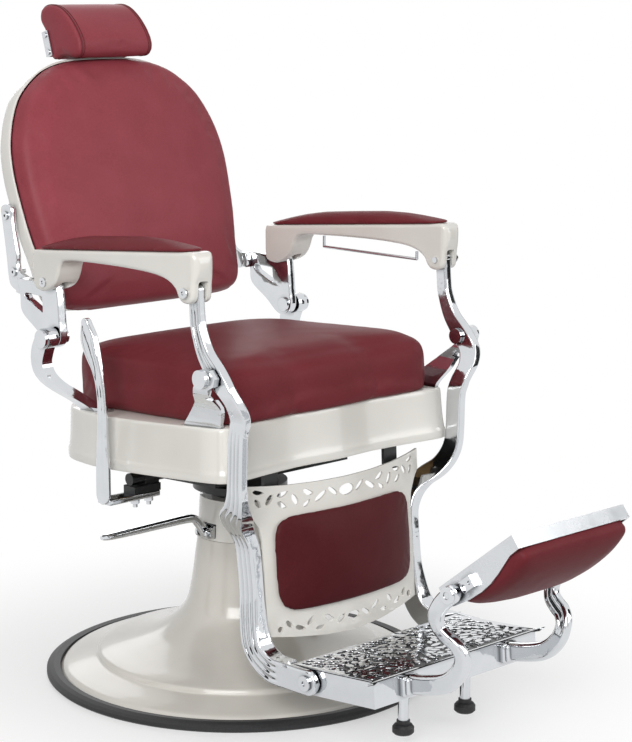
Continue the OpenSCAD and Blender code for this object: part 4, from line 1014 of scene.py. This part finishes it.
# %% Tray scrollwork
def leaf(at, long, short, degrees, points=16):
    """A pointed leaf outline."""
    angle = np.linspace(0, 2 * np.pi, points, endpoint=False)
    rise = np.sin(angle) * np.abs(np.sin(angle)) ** 0.4
    turn = math.radians(degrees)
    spin = np.array([[math.cos(turn), math.sin(turn)], [-math.sin(turn), math.cos(turn)]])
    return np.column_stack([long * np.cos(angle), short * rise]) @ spin + at


LEAF_ROOM = 0.72  # of a leaf's half length: the circle that it keeps free
LEAST_WEB = 1.2  # mm of metal between two such circles
dice = np.random.default_rng(7)
leaves, middles, circles = [], np.empty((0, 2)), []
for _ in range(6000):
    long = dice.uniform(4.0, 12.5)
    short = min(long, dice.uniform(3.2, 5.6))
    at = np.array([dice.uniform(-174, 174), dice.uniform(-124, 28)])
    web = np.linalg.norm(middles - at, axis=1) - np.array(circles) - LEAF_ROOM * long
    fits = (abs(at[0]) + long < 181 and -130 + short < at[1] - 0.6 * long
            and at[1] + 0.6 * long < 35)
    if fits and np.all(web > LEAST_WEB):
        swirl = 90 * math.sin(at[0] / 34) + 60 * math.cos(at[1] / 26)
        leaves.append(leaf(at, long, short, swirl))
        middles = np.vstack([middles, at])
        circles.append(LEAF_ROOM * long)
tray_rim = softened([(-184.6, -133.6), (184.6, -133.6), (184.6, 37.6), (-184.6, 37.6)], 0.02)
shade_bed_rim = 0.97 * tray_rim - (0, 1.4)
scrollwork = plate("tray_scrollwork", [tray_rim] + leaves, 20.0, 21.6, 0.5, tray_plane, 1)
# A black sheet under the scrollwork: painted shade seen through the openings.
shade_bed = plate("tray_painted_shade_bed", [shade_bed_rim], 17.5, 20.0, 0.4, tray_plane, 1)
dress(scrollwork, cast_chrome, "footrest")
dress(shade_bed, black_paint, "footrest")
print("openings in the tray's scrollwork:", len(leaves))

# %% [markdown]
# ## Armrests and brackets
# An armrest is a thick plate seen from the side, then narrowed seen from above. Extra cuts
# across it give the narrowing enough points to bend smoothly, and two slots take the ends of
# the leg arm and of the back's bracket. The back's bracket is three plates made as one piece.

# %% Armrests
rest_line = [(189, 725), (-213, 760), (-227, 758.5), (-235, 751), (-237, 738), (-234, 724),
             (-230, 712), (-229, 700), (-226, 689), (-218, 683), (-206, 681.5), (-194, 683.5),
             (-186, 690), (-179, 702), (-160, 713), (-126, 719), (-60, 721), (35, 719), (100, 715),
             (115, 706), (121, 691), (130, 676), (144, 666), (166, 659), (186, 663), (191, 676),
             (192, 716)]
rest_turn = (Matrix.Translation((266, -22.5, 0)) @ Matrix.Rotation(math.radians(2.498), 4, "Z")
             @ Matrix.Translation((0, 22.5, 0)))
REST_HALF = 25  # half the armrest's width, where it is widest
top_side = np.linspace(rest_line[0], rest_line[1], 12, endpoint=False)
outline = np.vstack([top_side, smooth(rest_line[1:], 5)])
rest_body = plate("armrest_body_left", [outline], -REST_HALF, REST_HALF, 6, side_view, 6)


def half_width(y):
    """Half the armrest's width, which narrows to a rounded nose in front."""
    nose = np.clip((y + 228) / 13, 0, 1)
    taper = 5 * np.clip((-90 - y) / 110, 0, 1) ** 1.5
    return REST_HALF - taper - 13 * (1 - np.sqrt(nose * (2 - nose)))


NOSE_FROM, NOSE_SHARE = -190 * MM, 0.8  # the nose is shortened in front of this line
with editing(rest_body.data) as bm:
    for y in [*range(-236, -212, 3), *range(-208, -80, 16)]:
        bmesh.ops.bisect_plane(bm, geom=bm.verts[:] + bm.edges[:] + bm.faces[:],
                               plane_co=(0, y * MM, 0), plane_no=(0, 1, 0))
    for point in bm.verts:
        if point.co.y < NOSE_FROM:
            point.co.y = NOSE_FROM + (point.co.y - NOSE_FROM) * NOSE_SHARE
        point.co.x *= half_width(point.co.y / MM) / REST_HALF
rest_body.data.transform(in_metres(rest_turn))
fork_front = block("fork_front", (264.6, -262, 600), (283.4, -190, 716), 4)
fork_rear = block("fork_rear", (247.2, 130, 600), (268.8, 212, 694), 4)
minus(rest_body, fork_front, fork_rear)
dress_pair(rest_body, "armrest_body_right", 40, cream_enamel, "arm_{}", "armrest_{}")

# %% Side brackets of the back
strip = [(254, 667), (251, 655), (249, 640), (244, 614), (206, 589), (176, 566), (156, 566),
         (142, 580), (144, 610), (150, 664), (161, 684), (186, 676), (208, 669), (232, 670)]
window = [(188, 619), (190, 646), (233, 648), (237, 644), (233, 638)]
upper_arm = [(326, 779), (323, 759), (314, 708), (307, 660), (298, 648), (283, 643), (262, 640),
             (252, 652), (258, 667), (277, 675), (284, 687), (284, 704), (289, 730), (296, 761),
             (298, 782), (312, 787)]
step_block = [(266, 644), (246, 642), (244, 655), (247, 668.5), (266, 668.5)]
bracket = joined(plate("back_bracket_left", [ring(strip, 4), softened(window)], 250, 266, 1.6,
                       side_view, 3),
                 plate("arm", [ring(upper_arm, 4)], 236, 246, 1.4, side_view, 3),
                 plate("step", [softened(step_block)], 237, 262, 1.4, side_view, 3))
dress_pair(bracket, "back_bracket_right", 35, cast_chrome, "back", "side_bracket_{}")

# %% Recline lever
grip_line = smooth([(-14, 356, 31), (-14, 400, 30), (-14, 450, 24), (-14, 508, 20), (-5, 552, 22),
                    (6, 580, 31), (15, 604, 34), (21, 626, 18)], 9)


def spoon(u, t):
    """The hollow of the lever's grip, and two ribs along its shank."""
    hollow = np.clip(1 - (np.abs(u) / 0.62) ** 2, 0, 1)
    rib = 0.5 * grooves(u, (-0.35, 0.35), 0.3)
    return 3.2 * within(t, 0.66, 0.98, 0.12) * hollow + 0.9 * within(t, 0.08, 0.7, 0.1) * rib


LEVER_IN, LEVER_OUT, GRIP_Z = 300.0, 308, 540  # the grip thickens above this height
grip = flat_bar("recline_lever_bar", with_round_ends(grip_line, 15.5, 9),
                lambda y, z: np.full_like(y, LEVER_IN),
                lambda y, z: LEVER_OUT + 3.0 * np.clip((z - GRIP_Z) / 40, 0, 1), 3.0,
                relief=spoon, across=41)
joined(grip, block("lever_foot", (200, -29.5, 340), (304, 1.5, 349), 1.5))
lever = twin(grip, "recline_lever_casting")
bpy.data.objects.remove(grip)
dress(crease(lever, 45), cast_chrome, "recline_lever", ["recline_lever"])

# %% Pump lever
rod_line = smooth([(-80, 251, 17), (-92, 267, 15), (-104, 278, 14), (-122, 281, 14),
                   (-170, 281, 13), (-230, 281, 12), (-284, 281, 10), (-298, 281, 6)], 8)
rod_width = smooth([(-60, 15), (-100, 14), (-180, 14), (-240, 17), (-282, 16), (-298, 8)], 8)
rod_width = rod_width[np.argsort(rod_width[:, 0])]
rod = flat_bar("pump_lever_rod", with_round_ends(rod_line, 8.5, None),
               lambda x, z: -np.interp(x, *rod_width.T) / 2,
               lambda x, z: np.interp(x, *rod_width.T) / 2, 5.0, order="atb",
               relief=lambda u, t: within(t, 0.12, 0.95) * grooves(u, (-0.35,), 0.14))
dress(crease(rod, 50), cast_chrome, "pump_lever", ["pump_lever"])

# %% [markdown]
# ## Pieces of the measured model
# Pins, screws, rods, plates and hidden pieces are shown as they were measured, each in the
# material of its real finish, except the back board, which wears the deepest painted-shade copy
# of the leatherette. Their meshes stay as they are. On the larger castings and plates, modifiers
# merge doubled points, take away needless ones and round the edges a little.

# %% Finishes of the measured pieces
finish_of = {
    cast_chrome: ["front_bracket_left", "front_bracket_right", "rear_arm_left", "rear_arm_right",
                  "lever_clevis", "foot_tray"],
    bar_chrome: ["clevis_pin", "lift_ram", "front_pivot_pins", "lever_bolts", "arm_pins_left",
                 "arm_pins_right", "towel_bar", "foot_posts", "foot_bolts", "board_hinges",
                 "board_pins", "headrest_bar", "headrest_pin", "headrest_screws",
                 "headrest_guide", "back_screws", "rear_pivot_pins", "bracket_screws"],
    plate_chrome: ["headrest_yoke", "board_frame"],
    cream_enamel: ["column_sleeve", "calf_panel"],
    black_paint: ["seat_hub", "seat_frame", "recline_shaft", "cross_tube"],
    black_rubber: ["rubber_ring", "rubber_feet"],
    cast_iron: ["base_plate", "pump_cylinder"],
    bronze: ["pump_bush"],
    plywood: ["seat_board"],
    # The back board wears the deepest painted-shade copy of the leatherette.
    burgundy_painted_deep_shade: ["back_board"],
}
known = {name: material for material, names in finish_of.items() for name in names}
for name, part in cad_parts.items():  # those without a finish are replaced and not seen
    part.data.materials.clear()
    part.data.materials.append(known.get(name, bar_chrome))
EDGE_ROUND = 0.9
for name in finish_of[cast_chrome] + finish_of[plate_chrome]:
    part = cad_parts[name]
    part.modifiers.new("merged", "WELD").merge_threshold = 0.01 * MM
    flat = part.modifiers.new("flat", "DECIMATE")
    flat.decimate_type, flat.angle_limit = "DISSOLVE", math.radians(1)
    edge = part.modifiers.new("edge", "BEVEL")
    edge.width, edge.segments, edge.limit_method = EDGE_ROUND * MM, 2, "ANGLE"
    edge.angle_limit = math.radians(40)
print("nodes without a finish of their own:", sorted(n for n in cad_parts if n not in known))
